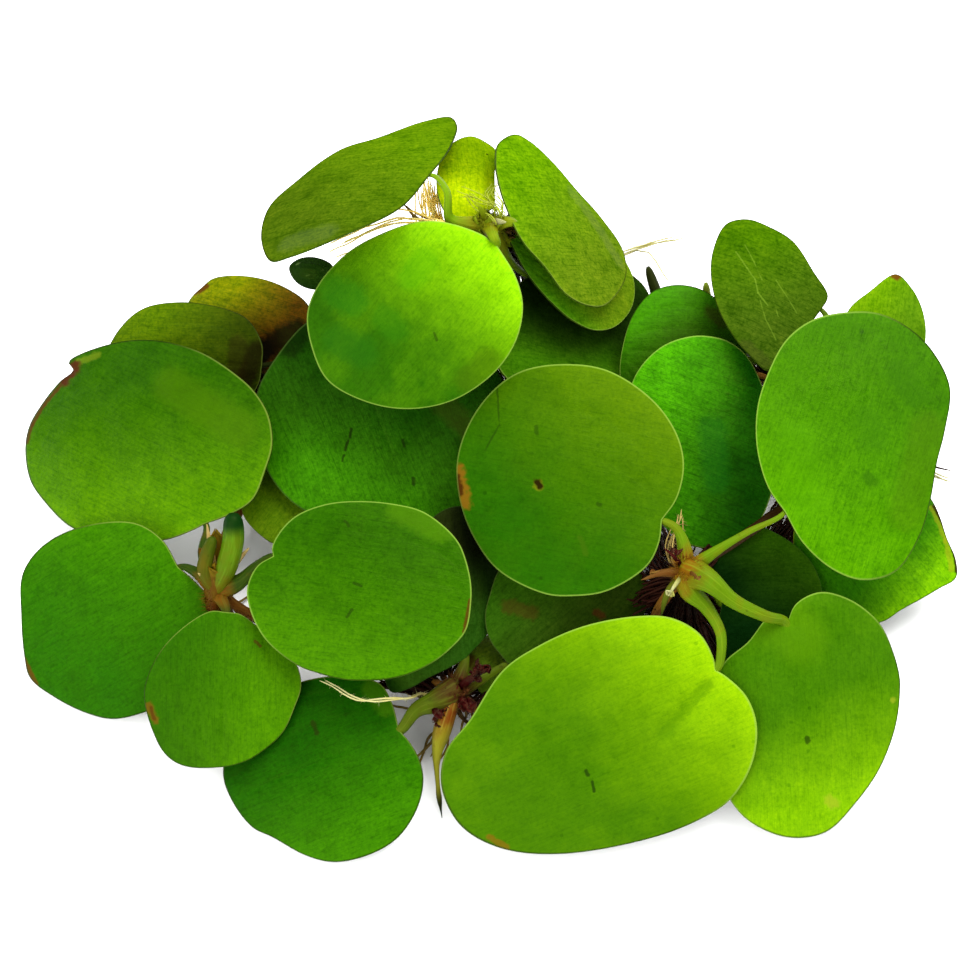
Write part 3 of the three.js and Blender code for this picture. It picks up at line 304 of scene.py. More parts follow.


# Looks of the leaves. A blade goes from the near colour to the far one between the picture points at its
# ends. Besides the leaf's own green, these two colours hold painted light and shade: lighter where a blade
# faces the lamps and where light shines through it, darker where it lies under other leaves. Its rim is a
# pale line, partly the blade's pale margin and partly painted sheen, and darker on one side with painted
# shade; one key gives that side's direction and how wide it is. grain and gloss are the strength of its
# patches and of its shine, and fall is how soon it turns to the far colour. A fold or mark runs between
# two picture points. A fold has half its width and its height in millimetres, and a mark its radius in
# millimetres, its colour and its strength. Some marks are painted light and shade, as said where they stand.
LOOK_DEFAULTS = dict(rim=PALE_RIM, dark=(0, 0, -0.3), gloss=0.12, fall=1.5, folds=[], marks=[])
LOOKS = {
    "leaf_top_left": dict(
        near=(110, 154, 8), far=(88, 118, 14), ends=[(376, 128), (328, 246)], rim=OLIVE_RIM, dark=(0, 0, 1),
        gloss=0.0, grain=1.9,
        folds=[((381, 163), (400, 170), 0.5, 0.25), ((400, 170), (420, 161), 0.5, 0.25)],
        # The grey-green mark is a painted sheen
        marks=[((325, 232), (290, 242), 1.6, (120, 136, 84), 0.15)],
    ),
    # The bright yellow near colour of this blade is painted light shining through it
    "leaf_top_behind": dict(
        near=(212, 244, 8), far=(138, 178, 4), ends=[(462, 190), (474, 158)], dark=(0, -1, -0.2), gloss=0.0,
        grain=1.4,
        marks=[((487, 154), (487, 154), 0.15, DARK, 0.9)],
    ),
    "leaf_top_right": dict(
        near=(120, 176, 6), far=(116, 150, 22), ends=[(521, 190), (600, 262)], rim=OLIVE_RIM,
        dark=(0.7, -0.7, 0.1), gloss=0.0, grain=1.9,
        # The greyish mark on the right part is a painted sheen
        marks=[((575, 195), (618, 260), 1.4, (140, 146, 90), 0.16)],
    ),
    "leaf_top_right_under": dict(
        near=(120, 212, 24), far=(120, 156, 20), ends=[(560, 314), (604, 290)], dark=(0, 0, -1), gloss=0.0,
        grain=1.6,
    ),
    # This blade is lighter at the top right and darker at the lower left: painted light and shade, from the
    # lamps and from light shining through it
    "leaf_top_front": dict(
        near=(170, 250, 6), far=(44, 110, 3), ends=[(480, 236), (356, 378)], dark=(0, 0, -1), grain=0.9,
        fall=2.1,
        marks=[
            ((434, 333), (437, 340), 0.16, DARK, 0.5), ((334, 290), (352, 300), 2.0, (30, 126, 14), 0.5),
            ((338, 340), (362, 352), 2.0, (30, 112, 14), 0.45),
            ((384, 318), (396, 330), 1.6, (44, 128, 8), 0.4),
            ((412, 276), (424, 262), 1.8, (84, 176, 4), 0.4),
            ((470, 380), (488, 362), 1.8, (70, 104, 6), 0.45),
        ],
    ),
    "leaf_top_lowest": dict(
        near=(84, 152, 12), far=(34, 60, 12), ends=[(554, 366), (570, 314)], dark=(1, 0, -0.4), gloss=0.0,
        grain=1.4,
    ),
    "leaf_right_back": dict(
        near=(92, 170, 1), far=(62, 130, 1), ends=[(800, 520), (900, 360)], dark=(1, 0, -0.2), grain=1.3,
        marks=[
            ((862, 332), (862, 332), 0.3, (40, 90, 20), 0.7),
            ((928, 430), (908, 512), 2.4, (84, 128, 10), 0.35),
            ((900, 372), (914, 392), 1.8, (48, 112, 6), 0.45),
            ((866, 420), (874, 440), 1.8, (56, 122, 6), 0.35),
            ((868, 476), (872, 482), 0.7, (44, 104, 6), 0.55),
            ((796, 440), (806, 500), 2.4, (92, 172, 2), 0.3),
        ],
    ),
    "leaf_right_front": dict(
        near=(142, 206, 4), far=(70, 132, 3), ends=[(830, 800), (795, 690)], dark=(0.8, 0.6, -0.1),
        grain=0.9,
        marks=[
            # The broad lighter mark where the petiole ends is a painted highlight
            ((807, 738), (808, 742), 0.3, DARK, 0.7), ((772, 612), (800, 636), 3.4, (104, 160, 6), 0.35),
            ((830, 800), (834, 804), 0.7, YELLOW, 0.55), ((893, 700), (893, 700), 0.4, YELLOW, 0.5),
        ],
    ),
    "leaf_front_large": dict(
        near=(168, 226, 4), far=(74, 132, 2), ends=[(700, 640), (528, 802)], dark=(-0.2, 1, -0.3), grain=0.7,
        fall=2.5,
        folds=[((712, 676), (664, 738), 1.5, -0.5)],
        marks=[
            ((586, 771), (588, 775), 0.25, CRACK, 0.85), ((592, 782), (594, 791), 0.2, CRACK, 0.85),
            # The last mark, along the fold from the notch, is painted shade in the crease
            ((489, 837), (507, 847), 0.4, ORANGE, 0.6), ((708, 684), (664, 735), 0.8, (84, 142, 2), 0.5),
        ],
    ),
    "leaf_centre": dict(
        near=(92, 136, 1), far=(36, 106, 1), ends=[(632, 400), (508, 550)], dark=(-0.8, 0.2, -0.75),
        grain=0.9,
        marks=[
            ((538, 484), (539, 486), 0.55, (150, 150, 20), 0.6),
            ((537, 482), (540, 486), 0.42, (40, 18, 4), 1.0), ((457, 470), (464, 502), 0.9, ORANGE, 0.8),
            ((457, 478), (460, 492), 0.5, (70, 24, 6), 0.9), ((497, 388), (499, 425), 0.14, CRACK, 0.6),
            ((499, 425), (485, 450), 0.14, CRACK, 0.6), ((536, 427), (537, 434), 0.25, CRACK, 0.5),
            ((580, 537), (586, 554), 0.35, (60, 108, 6), 0.8), ((598, 504), (600, 505), 0.25, CRACK, 0.6),
        ],
    ),
    # This blade's dark colours are painted shade under the leaves and petioles above it
    "leaf_right_under": dict(
        near=(70, 124, 14), far=(14, 50, 12), ends=[(792, 555), (745, 608)], rim=(70, 115, 40), gloss=0.0,
        grain=1.3,
    ),
    "leaf_left_back": dict(
        near=(102, 166, 1), far=(50, 108, 1), ends=[(150, 512), (146, 372)], rim=OLIVE_RIM,
        dark=(-0.9, -0.4, 0.1), grain=1.3,
        marks=[
            ((78, 362), (98, 355), 0.5, YELLOW, 0.25), ((74, 368), (64, 380), 0.95, (92, 36, 20), 0.95),
            *chain([(60, 386), (44, 405), (32, 425), (27, 442)], 0.3, (96, 60, 18), 0.9),
            ((170, 385), (240, 430), 2.4, (80, 128, 4), 0.5),
        ],
    ),
    "leaf_left_side": dict(
        near=(62, 134, 1), far=(36, 116, 1), ends=[(125, 549), (82, 686)], rim=OLIVE_RIM,
        dark=(-0.9, 0.4, 0.2), grain=1.3,
        marks=[((24, 660), (36, 684), 0.35, (110, 60, 20), 0.8)],
    ),
    "leaf_left_front": dict(
        near=(80, 146, 1), far=(46, 110, 1), ends=[(262, 690), (172, 672)], rim=OLIVE_RIM,
        dark=(-0.5, 0.8, 0.1), grain=1.1,
        marks=[
            ((149, 706), (155, 720), 0.55, (120, 84, 16), 0.85),
            ((151, 708), (154, 718), 0.28, (92, 34, 10), 0.7),
            ((255, 641), (260, 646), 0.22, (84, 64, 14), 0.8),
        ],
    ),
    "leaf_left_right": dict(
        near=(76, 144, 1), far=(46, 108, 1), ends=[(350, 660), (376, 526)], dark=(0, 1, -0.6), grain=1.3,
        marks=[
            ((470, 600), (464, 632), 0.22, BROWN, 0.85), ((345, 521), (349, 526), 0.2, CRACK, 0.7),
            ((354, 583), (361, 586), 0.18, CRACK, 0.7), ((347, 617), (352, 610), 0.22, CRACK, 0.7),
            ((440, 530), (400, 510), 1.6, (84, 140, 6), 0.5),
        ],
    ),
    "leaf_front_left": dict(
        near=(62, 138, 1), far=(18, 96, 1), ends=[(362, 828), (306, 728)], rim=OLIVE_RIM, dark=(0, 1, 0.2),
        grain=1.3,
        marks=[
            ((313, 722), (317, 733), 0.3, (34, 54, 8), 0.8),
            ((372, 688), (386, 706), 1.3, (84, 140, 10), 0.45),
        ],
    ),
    "leaf_front_back": dict(
        near=(50, 104, 20), far=(28, 36, 16), ends=[(462, 620), (456, 540)], rim=(60, 96, 30), grain=1.4,
    ),
    "leaf_front_right": dict(
        near=(56, 112, 11), far=(54, 82, 14), ends=[(515, 590), (590, 640)], rim=(96, 120, 50), grain=1.5,
        marks=[
            ((508, 607), (532, 612), 0.9, (84, 62, 18), 0.6),
            ((596, 612), (602, 616), 0.5, (96, 40, 20), 0.7),
        ],
    ),
    "leaf_front_small": dict(
        near=(110, 140, 24), far=(84, 120, 18), ends=[(487, 655), (478, 668)], rim=(96, 96, 40), grain=1.5,
        marks=[((470, 660), (480, 672), 0.8, (70, 24, 10), 0.8)],
    ),
    # This blade's far colour, towards its part under leaf_right_back, is painted shade
    "leaf_back_right_low": dict(
        near=(142, 222, 3), far=(60, 150, 6), ends=[(925, 590), (885, 555)], rim=YELLOW,
        dark=(0.8, 0.6, -0.1), grain=1.5,
        marks=[
            *chain([(932, 508), (946, 540), (952, 570)], 0.36, (180, 186, 30), 0.5),
            *chain([(934, 506), (943, 524), (950, 540), (955, 556), (957, 572)], 0.25, (50, 22, 8), 0.95),
        ],
    ),
    "leaf_back_right_tip": dict(
        near=(128, 184, 10), far=(106, 160, 18), ends=[(882, 298), (916, 312)], dark=(0, -1, 0.1), gloss=0.0,
        grain=1.4,
        marks=[((894, 276), (898, 277), 0.45, (120, 40, 20), 0.85)],
    ),
    "leaf_back_right_high": dict(
        near=(86, 134, 5), far=(76, 106, 18), ends=[(750, 240), (775, 336)], rim=OLIVE_RIM, dark=(0, 0, 1),
        gloss=0.0, grain=2.0,
        folds=[((737, 262), (757, 310), 0.35, 0.22), ((758, 266), (777, 312), 0.35, 0.2)],
        marks=[
            ((745, 345), (765, 362), 0.8, (70, 60, 30), 0.3),
            # Pale lines along the wrinkles: painted sheen on their ridges
            *chain([(736, 252), (747, 268), (755, 279), (758, 293), (768, 305)], 0.1, WRINKLE_SHEEN, 0.4),
            *chain([(745, 245), (754, 262), (762, 280), (772, 296), (778, 316)], 0.08, WRINKLE_SHEEN, 0.35),
            *chain([(776, 280), (788, 298), (797, 313)], 0.08, WRINKLE_SHEEN, 0.35),
            *chain([(760, 300), (766, 320), (776, 340)], 0.08, WRINKLE_SHEEN, 0.3),
        ],
    ),
    # This blade's dark far end, towards leaf_right_back, is painted shade
    "leaf_back_right_wide": dict(
        near=(86, 196, 3), far=(23, 96, 6), ends=[(662, 430), (754, 440)], grain=1.9,
        marks=[((712, 430), (716, 480), 1.8, (10, 112, 22), 0.45)],
    ),
    # This blade's dark far end, towards leaf_back_right_high, is painted shade
    "leaf_back_right_behind": dict(
        near=(64, 152, 1), far=(40, 90, 2), ends=[(655, 305), (690, 345)], dark=(0.3, -1, -0.2), grain=1.4,
        # The dark brown mark on the right is painted shadow from leaf_back_right_high
        marks=[((712, 312), (722, 322), 1.0, (50, 30, 12), 0.5)],
    ),
    # This blade's darker far end, under leaf_top_front, is painted shade
    "leaf_back_left_wide": dict(
        near=(71, 160, 6), far=(34, 97, 9), ends=[(340, 480), (385, 388)], rim=(96, 130, 50),
        dark=(0, 0, -0.2), grain=1.9,
        marks=[
            ((351, 429), (350, 437), 0.2, DARK, 0.8), ((348, 441), (345, 450), 0.18, DARK, 0.8),
            ((344, 455), (342, 461), 0.13, DARK, 0.7), ((403, 440), (404, 446), 0.2, DARK, 0.7),
            # The very dark mark running to (300, 330) is painted shadow in the gap beside
            # leaf_back_left_brown
            ((413, 478), (414, 484), 0.25, DARK, 0.7), ((292, 345), (300, 330), 1.6, (10, 30, 6), 0.7),
            ((440, 400), (470, 430), 1.5, (70, 84, 20), 0.45),
        ],
    ),
    "leaf_back_left_brown": dict(
        near=(152, 164, 2), far=(120, 72, 8), ends=[(235, 284), (286, 326)], rim=(120, 80, 30),
        dark=(0, 0, 1), grain=1.9,
        marks=[
            ((196, 292), (206, 286), 0.5, (110, 50, 14), 0.9),
            # The two near-black marks along the lower right are painted shadow
            ((296, 330), (262, 350), 1.5, (30, 10, 10), 0.95),
            ((262, 350), (252, 378), 1.5, (24, 10, 8), 0.95),
        ],
    ),
    "leaf_back_left_olive": dict(
        near=(102, 138, 2), far=(68, 88, 4), ends=[(154, 322), (250, 345)], rim=OLIVE_RIM,
        dark=(-0.6, -0.8, 0.3), grain=1.6,
        marks=[
            # Both dark marks on the right are painted shadow
            ((256, 350), (246, 378), 1.3, (34, 14, 8), 0.85),
            ((238, 345), (236, 372), 1.3, (52, 40, 10), 0.6),
        ],
    ),
    "leaf_back_left_under": dict(
        near=(114, 158, 14), far=(96, 136, 8), ends=[(275, 508), (258, 492)], rim=OLIVE_RIM, grain=1.5,
    ),
    "leaf_back_left_small": dict(
        near=(40, 78, 18), far=(26, 64, 8), ends=[(316, 264), (303, 281)], dark=(0, 0, 1), grain=1.6,
        marks=[
            ((296, 264), (330, 259), 0.14, (120, 150, 80), 0.6),
            ((306, 276), (324, 270), 0.1, (90, 120, 50), 0.5),
        ],
    ),
}

# Runners, from crown to crown. way holds picture points with a height, as for the sprouts and loose roots.
RUNNERS = [
    dict(
        name="runner_left_to_front", ends=("left", "front"),
        way=[(248, 613, 10), (330, 642, 6.5), (400, 676, 4.4), (430, 682, 5.2)],
    ),
    dict(
        name="runner_front_to_right", ends=("front", "right"),
        way=[(486, 712, 5), (560, 702, 3.5), (636, 652, 4.5), (662, 603, 15.5)],
    ),
    # This runner takes a darker copy of the runner colours: painted shade
    dict(
        name="runner_right_to_back", ends=("right", "back_right"), look="runner_shade",
        way=[(745, 535, 18), (815, 480, 18.5), (838, 430, 17)],
    ),
    dict(
        name="runner_left_to_back", ends=("left", "back_left"),
        way=[(222, 545, 7), (262, 470, 6), (308, 385, 10)],
    ),
    dict(
        name="runner_back_to_top", ends=("back_left", "top"),
        way=[(385, 300, 19), (442, 282, 25), (466, 247, 32.5)],
    ),
    dict(
        name="runner_top_to_back", ends=("top", "back_right"),
        way=[(512, 222, 33), (530, 235, 24), (560, 262, 13), (620, 310, 7), (740, 370, 8)],
    ),
]
RUNNER_RADIUS = 0.7
RUNNER_JOINTS = (0.36, 0.68)

# Rolled young leaves, a bud, a shoot and spent stalks. tip is where on its swell a blunt one ends, and pinch
# is how much a withered one narrows.
SPROUTS = [
    dict(
        name="young_leaf_left", look="young_leaf_green", radius=1.25, tip=0.64,
        way=[(216, 590, 13), (228, 562, 17.5), (233, 540, 19.5), (233, 514, 22)],
    ),
    dict(
        name="bud_left", look="bud_green", radius=0.9, tip=0.74,
        way=[(216, 590, 13), (205, 570, 16.5), (213, 537, 19.5)],
    ),
    dict(
        name="shoot_front", look="shoot_orange", radius=1.1, pinch=0.62,
        way=[(455, 692, 8.5), (446, 718, 8), (437, 754, 5.2), (438, 787, 3), (442, 818, 1.2)],
    ),
    dict(
        name="stalk_right_dry", look="stalk_dry", radius=0.55, pinch=0.35,
        way=[(686, 572, 20), (664, 573, 21), (641, 580, 22)],
    ),
    dict(
        name="stalk_right_green", look="stalk_green", radius=0.5,
        way=[(686, 572, 20), (668, 592, 19), (661, 616, 16.5)],
    ),
    dict(
        name="young_leaf_back_dark", look="young_leaf_shade", radius=0.8, tip=0.8,
        way=[(655, 327, 7.2), (659, 304, 13), (648, 267, 18)],
    ),
    dict(
        name="young_leaf_back_green", look="young_leaf_pale", radius=0.7, tip=0.8,
        way=[(702, 351, 7.7), (708, 318, 14), (706, 283, 19)],
    ),
]
SPROUT_FOOT_PHASE = 0.35
SPROUT_TIP_PHASE = 0.95
SPROUT_TIP_SHARES = (0.98, 0.93, 0.82, 0.5)

# Loose roots that show between the leaves: strands is how many fine roots follow the way
LOOSE_ROOTS = {
    "top": [
        dict(way=[(455, 227, 33), (424, 221, 34.5)], strands=5, look="amber"),
        dict(way=[(400, 222, 33), (326, 250, 33)], strands=6, look="amber"),
        dict(way=[(462, 240, 30), (436, 228, 30), (427, 182, 33)], strands=24, look="amber"),
        dict(way=[(510, 246, 28), (518, 268, 18), (528, 296, 9)], strands=36, look="maroon"),
        dict(way=[(460, 232, 31), (420, 218, 31), (402, 205, 32)], strands=4, look="brown"),
        dict(way=[(508, 228, 33.5), (517, 243, 28)], strands=16, look="brown"),
        dict(way=[(505, 262, 20), (560, 285, 8), (627, 253, 9), (685, 237, 11)], strands=4, look="pale"),
        dict(way=[(505, 262, 20), (560, 285, 8), (640, 250, 9), (656, 262, 9.5), (672, 284, 9)],
             strands=1, look="pale"),
        dict(way=[(498, 218, 38.6), (478, 200, 38.2), (460, 192, 37.6)], strands=7, look="curly"),
        dict(way=[(500, 212, 38.4), (488, 196, 38), (496, 186, 37.4)], strands=6, look="curly"),
    ],
    "right": [
        dict(way=[(662, 575, 14), (644, 556, 11)], strands=34, look="maroon"),
        dict(way=[(664, 592, 14.5), (640, 600, 14.5)], strands=34, look="maroon"),
        dict(way=[(672, 560, 12), (660, 530, 9)], strands=34, look="maroon"),
        dict(way=[(700, 566, 12), (710, 546, 8)], strands=26, look="maroon"),
        dict(way=[(712, 606, 7), (778, 552, 4), (798, 520, 3)], strands=44, look="maroon"),
        dict(way=[(712, 606, 7), (770, 540, 4), (784, 500, 3)], strands=30, look="maroon"),
        dict(way=[(674, 550, 16), (678, 512, 16.5)], strands=8, look="striped"),
    ],
    "left": [],
    "front": [
        dict(way=[(427, 695, 6.5), (413, 699, 10.8), (394, 697, 12.4), (362, 701, 12.2), (326, 679, 12.6)],
             strands=2, look="pale"),
        dict(way=[(434, 686, 5.5), (404, 678, 5), (374, 671, 4.5)], strands=30, look="maroon"),
        dict(way=[(462, 668, 5.5), (480, 650, 5)], strands=20, look="maroon"),
        dict(way=[(466, 704, 5.5), (484, 690, 4)], strands=24, look="maroon"),
    ],
    "back_right": [
        dict(way=[(905, 462, 14), (952, 482, 15)], strands=3, look="pale"),
        dict(way=[(796, 392, 9), (766, 374, 8), (752, 352, 7)], strands=46, look="maroon"),
    ],
    "back_left": [dict(way=[(296, 362, 8), (262, 376, 6), (248, 398, 5)], strands=44, look="maroon")],
}

# How far each kind of loose root spreads, its radius, and how thick its side hairs stand
LOOSE_KINDS = {
    "amber": (0.95, 0.17, 0.7),
    "pale": (0.45, 0.18, 0.7),
    "brown": (0.6, 0.2, 0.7),
    "maroon": (1.25, 0.26, 0.3),
    "striped": (0.95, 0.15, 0.7),
    "curly": (0.8, 0.1, 0.7),
}

# Root tufts: how far each bundle of roots reaches over the floor, the share of a turn they are turned by,
# the roots in a bundle, the roots between bundles, and how thick their side hairs stand
TUFTS = {
    "top": dict(reaches=(18, 16, 15, 17, 15), turn=0.1, strands=20, free=60, hairs=0.7, look="maroon"),
    "right": dict(reaches=(15, 17, 14, 16, 14), turn=0.48, strands=26, free=50, hairs=1.0, look="maroon"),
    "left": dict(reaches=(12, 10, 13, 9, 11), turn=0.2, strands=6, free=10, hairs=0.5, look="brown"),
    "front": dict(reaches=(9, 12, 10, 8, 8), turn=0.05, strands=3, free=2, hairs=0.15, look="brown"),
    "back_right": dict(
        reaches=(15, 13, 16, 14, 15), turn=0.3, strands=26, free=70, hairs=0.8, look="maroon",
    ),
    "back_left": dict(
        reaches=(14, 15, 13, 15, 16), turn=0.15, strands=26, free=60, hairs=0.8, look="maroon",
    ),
}
TUFT_WAIST_RADIUS = 2.2

# Crowns: what they are made of and the papers of their bracts, half the width of a bract, the scraps on each
# bract, the height of the sheaths, how far they lean, how pointed they are, and the tilt of the whole
CROWN_LOOKS = {
    "top": dict(
        flesh="crown_green", sheath="sheath_green", papers=["sheath_green", "paper_cream"], bract=0.5,
        scraps=0, tall=5.0, lean=(0.2, 1.0), point=2.2, tilt=(0, 0),
    ),
    "right": dict(
        flesh="crown_orange", sheath="sheath_orange",
        papers=["paper_tan", "paper_maroon", "paper_cream", "paper_tan"], bract=0.26,
        scraps=1, tall=4.0, lean=(0.2, 0.9), point=2.2, tilt=(0, 0),
    ),
    "left": dict(
        flesh="crown_brown", sheath="sheath_brown", papers=["paper_pale"] * 3, bract=0.5,
        scraps=0, tall=8.8, lean=(0.8, 1.5), point=5, tilt=(0.06, 0.7),
    ),
    "front": dict(
        flesh="crown_maroon", sheath="sheath_maroon", papers=["paper_maroon"] * 3, bract=0.5,
        scraps=10, tall=4.2, lean=(0.2, 1.1), point=2.2, tilt=(0, 0),
    ),
    "back_right": dict(
        flesh="crown_orange", sheath="sheath_brown", papers=["paper_tan"], bract=0.45,
        scraps=0, tall=4.4, lean=(0.2, 1.0), point=2.2, tilt=(0, 0),
    ),
}
CROWN_LOOKS["back_left"] = CROWN_LOOKS["back_right"]

# Stems: the colours of the foot, the tip, the stripes and the blotches. Some have the distance in
# millimetres over which the foot's colour turns into the tip's, and some the colour of their end.
STEMS = {
    "petiole_top": ((150, 150, 14), (128, 176, 14), (186, 206, 50), (96, 120, 10), 6.5),
    "petiole_right": ((148, 98, 10), (108, 150, 8), (156, 190, 36), (72, 84, 8), 4.2),
    "petiole_left": ((140, 84, 16), (50, 78, 14), (104, 126, 30), (30, 46, 10), 4.0),
    "petiole_front": ((84, 56, 18), (88, 112, 12), (128, 142, 40), (52, 54, 12), 5.0),
    # The petioles of the two back crowns are darker: painted shade under the leaves above them
    "petiole_back_right": ((90, 60, 14), (90, 126, 16), (120, 150, 30), (50, 70, 10), 5.0),
    "petiole_back_left": ((70, 40, 14), (36, 50, 8), (60, 70, 16), (24, 30, 8), 5.0),
    "young_leaf_green": ((120, 110, 14), (84, 150, 10), (136, 190, 44), (40, 84, 8), None, (14, 62, 12)),
    "bud_green": ((120, 100, 16), (70, 92, 10), (110, 130, 24), (40, 56, 8)),
    "shoot_orange": ((130, 62, 10), (172, 172, 40), (200, 190, 76), (90, 40, 12), 9.0, (34, 42, 16)),
    "stalk_dry": ((116, 60, 16), (124, 84, 34), (160, 124, 60), (70, 24, 14)),
    "stalk_green": ((110, 110, 16), (90, 112, 20), (130, 150, 40), (60, 70, 14)),
    "young_leaf_pale": ((110, 140, 20), (160, 186, 44), (190, 206, 70), (100, 130, 20)),
    "young_leaf_shade": ((40, 60, 14), (52, 60, 22), (84, 92, 40), (24, 32, 10)),
}
DULL_STEMS = {
    "runner_brown": ((150, 90, 30), (150, 100, 32), (206, 166, 74), (90, 38, 14)),
    # A darker copy of the runner colours: painted shade for a runner in the dark gaps between leaves
    "runner_shade": ((66, 44, 12), (52, 26, 14), (84, 60, 26), (34, 12, 8)),
    "crown_orange": ((104, 44, 10), (150, 92, 12), (170, 120, 26), (84, 16, 10)),
    "crown_maroon": ((62, 16, 14), (88, 26, 18), (130, 56, 30), (40, 6, 10)),
    "crown_green": ((120, 120, 14), (140, 166, 12), (180, 200, 50), (90, 110, 8)),
    "crown_brown": ((84, 34, 8), (112, 66, 12), (136, 92, 24), (62, 14, 8)),
}

# Roots: pale and deep colours. Above 255 a colour stands for one that is seen in shade.
ROOTS = {
    "roots_amber": ((380, 350, 200), (370, 296, 104)),
    "roots_pale": ((252, 246, 170), (236, 220, 100)),
    "roots_brown": ((168, 140, 70), (84, 52, 20)),
    "roots_maroon": ((58, 22, 18), (24, 5, 8)),
    "roots_curly": ((206, 222, 70), (176, 196, 40)),
    "roots_striped": ((260, 230, 130), (130, 60, 24)),
}

# Sheaths and papery bracts: pale, deep and stained colours, and the roughness and shine of the wet one
PAPERS = {
    "sheath_orange": ((160, 116, 24), (142, 78, 14), (90, 20, 12)),
    "sheath_maroon": ((110, 66, 30), (84, 24, 18), (44, 8, 12)),
    "sheath_green": ((160, 190, 24), (140, 150, 14), (120, 110, 14)),
    "sheath_brown": ((128, 106, 8), (114, 60, 10), (86, 24, 10)),
    "paper_pale": ((214, 194, 120), (170, 120, 44), (120, 64, 24)),
    "paper_cream": ((232, 232, 170), (196, 196, 90), (170, 150, 60)),
    "paper_maroon": ((84, 10, 18), (46, 2, 8), (80, 34, 20), 0.3, 0.18),
    "paper_tan": ((160, 120, 50), (120, 64, 20), (76, 20, 16)),
}


# Picture points to places

def rays(px, py):
    px, py = np.asarray(px, float), np.asarray(py, float)
    right = ((px - PICTURE_MIDDLE) * MM_PER_PIXEL)[..., None] * VIEW_RIGHT
    up = ((PICTURE_MIDDLE - py) * MM_PER_PIXEL)[..., None] * VIEW_UP
    way = VIEW_FORWARD * VIEW_DISTANCE + right + up
    return way / np.linalg.norm(way, axis=-1, keepdims=True)


def seen(px, py, height):
    """The place on a picture point's ray that is at the stated height"""
    way = rays(px, py)
    return VIEW_EYE + way * ((height - VIEW_EYE[2]) / way[..., 2])[..., None]


def seen_way(way):
    return [seen(*point) for point in way]


def crown_place(name):
    return seen(*CROWNS[name]["at"])


def unit(vector):
    return vector / np.linalg.norm(vector)


# Curves

def smooth(points, per_span=16):
    """A centripetal Catmull-Rom curve through the points, as a fine polyline"""
    p = np.asarray(points, float)
    p = np.vstack([2 * p[0] - p[1], p, 2 * p[-1] - p[-2]])
    t = np.linspace(0, 1, per_span, endpoint=False)[:, None]
    spans = []
    for x0, x1, x2, x3 in zip(p, p[1:], p[2:], p[3:]):
        d0, d1, d2 = (max(np.linalg.norm(b - a), 1e-6) ** 0.5 for a, b in ((x0, x1), (x1, x2), (x2, x3)))
        m1 = ((x1 - x0) / d0 - (x2 - x0) / (d0 + d1) + (x2 - x1) / d1) * d1
        m2 = ((x2 - x1) / d1 - (x3 - x1) / (d1 + d2) + (x3 - x2) / d2) * d1
        spans.append(x1 + m1 * t + (3 * (x2 - x1) - 2 * m1 - m2) * t**2 + (2 * (x1 - x2) + m1 + m2) * t**3)
    return np.vstack([*spans, p[-2:-1]])


def distances(line):
    """How far along a polyline each of its points lies"""
    return np.concatenate([[0], np.cumsum(np.linalg.norm(np.diff(line, axis=0), axis=1))])


def spaced(line, count):
    """The polyline again with count points at equal distances"""
    run = distances(line)
    places = np.linspace(0, run[-1], count)
    return np.stack([np.interp(places, run, line[:, axis]) for axis in range(line.shape[1])], axis=1)


def lerp(a, b, t):
    return a + (b - a) * t


def ease(t):
    t = np.clip(t, 0, 1)
    return t * t * (3 - 2 * t)


def wander(point, size, seed):
    """Smooth noise at a place, one value for each axis"""
    return np.array(noise.noise_vector(Vector(point) / size + Vector((seed, seed * 1.7, seed * 0.3))))


def waves(points, size, seed):
    """Smooth noise at many places, one value each"""
    shift = Vector((seed, seed * 0.7, -seed))
    return np.array([noise.noise(Vector(point) / size + shift) for point in points])


# Meshes

class Shape:
    """The points and faces of one piece, in millimetres, gathered before its mesh is made.

    place is along, around and share of the length, and tone is a value from 0 to 1, which on a blade mixes
    the near and far colours and so carries painted light and shade. vein marks veins and tips, and edge the
    painted shade on one side of a leaf's rim."""

    def __init__(self):
        self.points, self.faces, self.slots = [], [], []
        self.values = {"place": [], "tone": [], "vein": [], "edge": []}
        self.count = 0

    def add(self, points, faces, slot, **values):
        self.points.append(points)
        self.faces += [tuple(int(i) + self.count for i in face) for face in faces]
        self.slots += [slot] * len(faces)
        for key, parts in self.values.items():
            empty = np.zeros((len(points), 3) if key == "place" else len(points))
            parts.append(values.get(key, empty))
        self.count += len(points)

    def build(self, name, materials):
        mesh = bpy.data.meshes.new(name)
        mesh.from_pydata((np.vstack(self.points) * MM).tolist(), [], self.faces)
        form = bmesh.new()
        form.from_mesh(mesh)
        bmesh.ops.recalc_face_normals(form, faces=form.faces)
        form.to_mesh(mesh)
        form.free()
        mesh.polygons.foreach_set("material_index", self.slots)
        mesh.polygons.foreach_set("use_smooth", [True] * len(self.faces))
        for key, parts in self.values.items():
            kind, field = ("FLOAT_VECTOR", "vector") if key == "place" else ("FLOAT", "value")
            data = np.concatenate(parts).astype(np.float32)
            mesh.attributes.new(key, kind, "POINT").data.foreach_set(field, data.ravel())
        for material in materials:
            mesh.materials.append(material)
        piece = bpy.data.objects.new(name, mesh)
        bpy.context.scene.collection.objects.link(piece)
        return piece


def ring_faces(rings, sides, start=0):
    faces = []
    for ring in range(rings - 1):
        low = start + ring * sides
        for side in range(sides):
            after = (side + 1) % sides
            faces.append((low + side, low + after, low + sides + after, low + sides + side))
    return faces


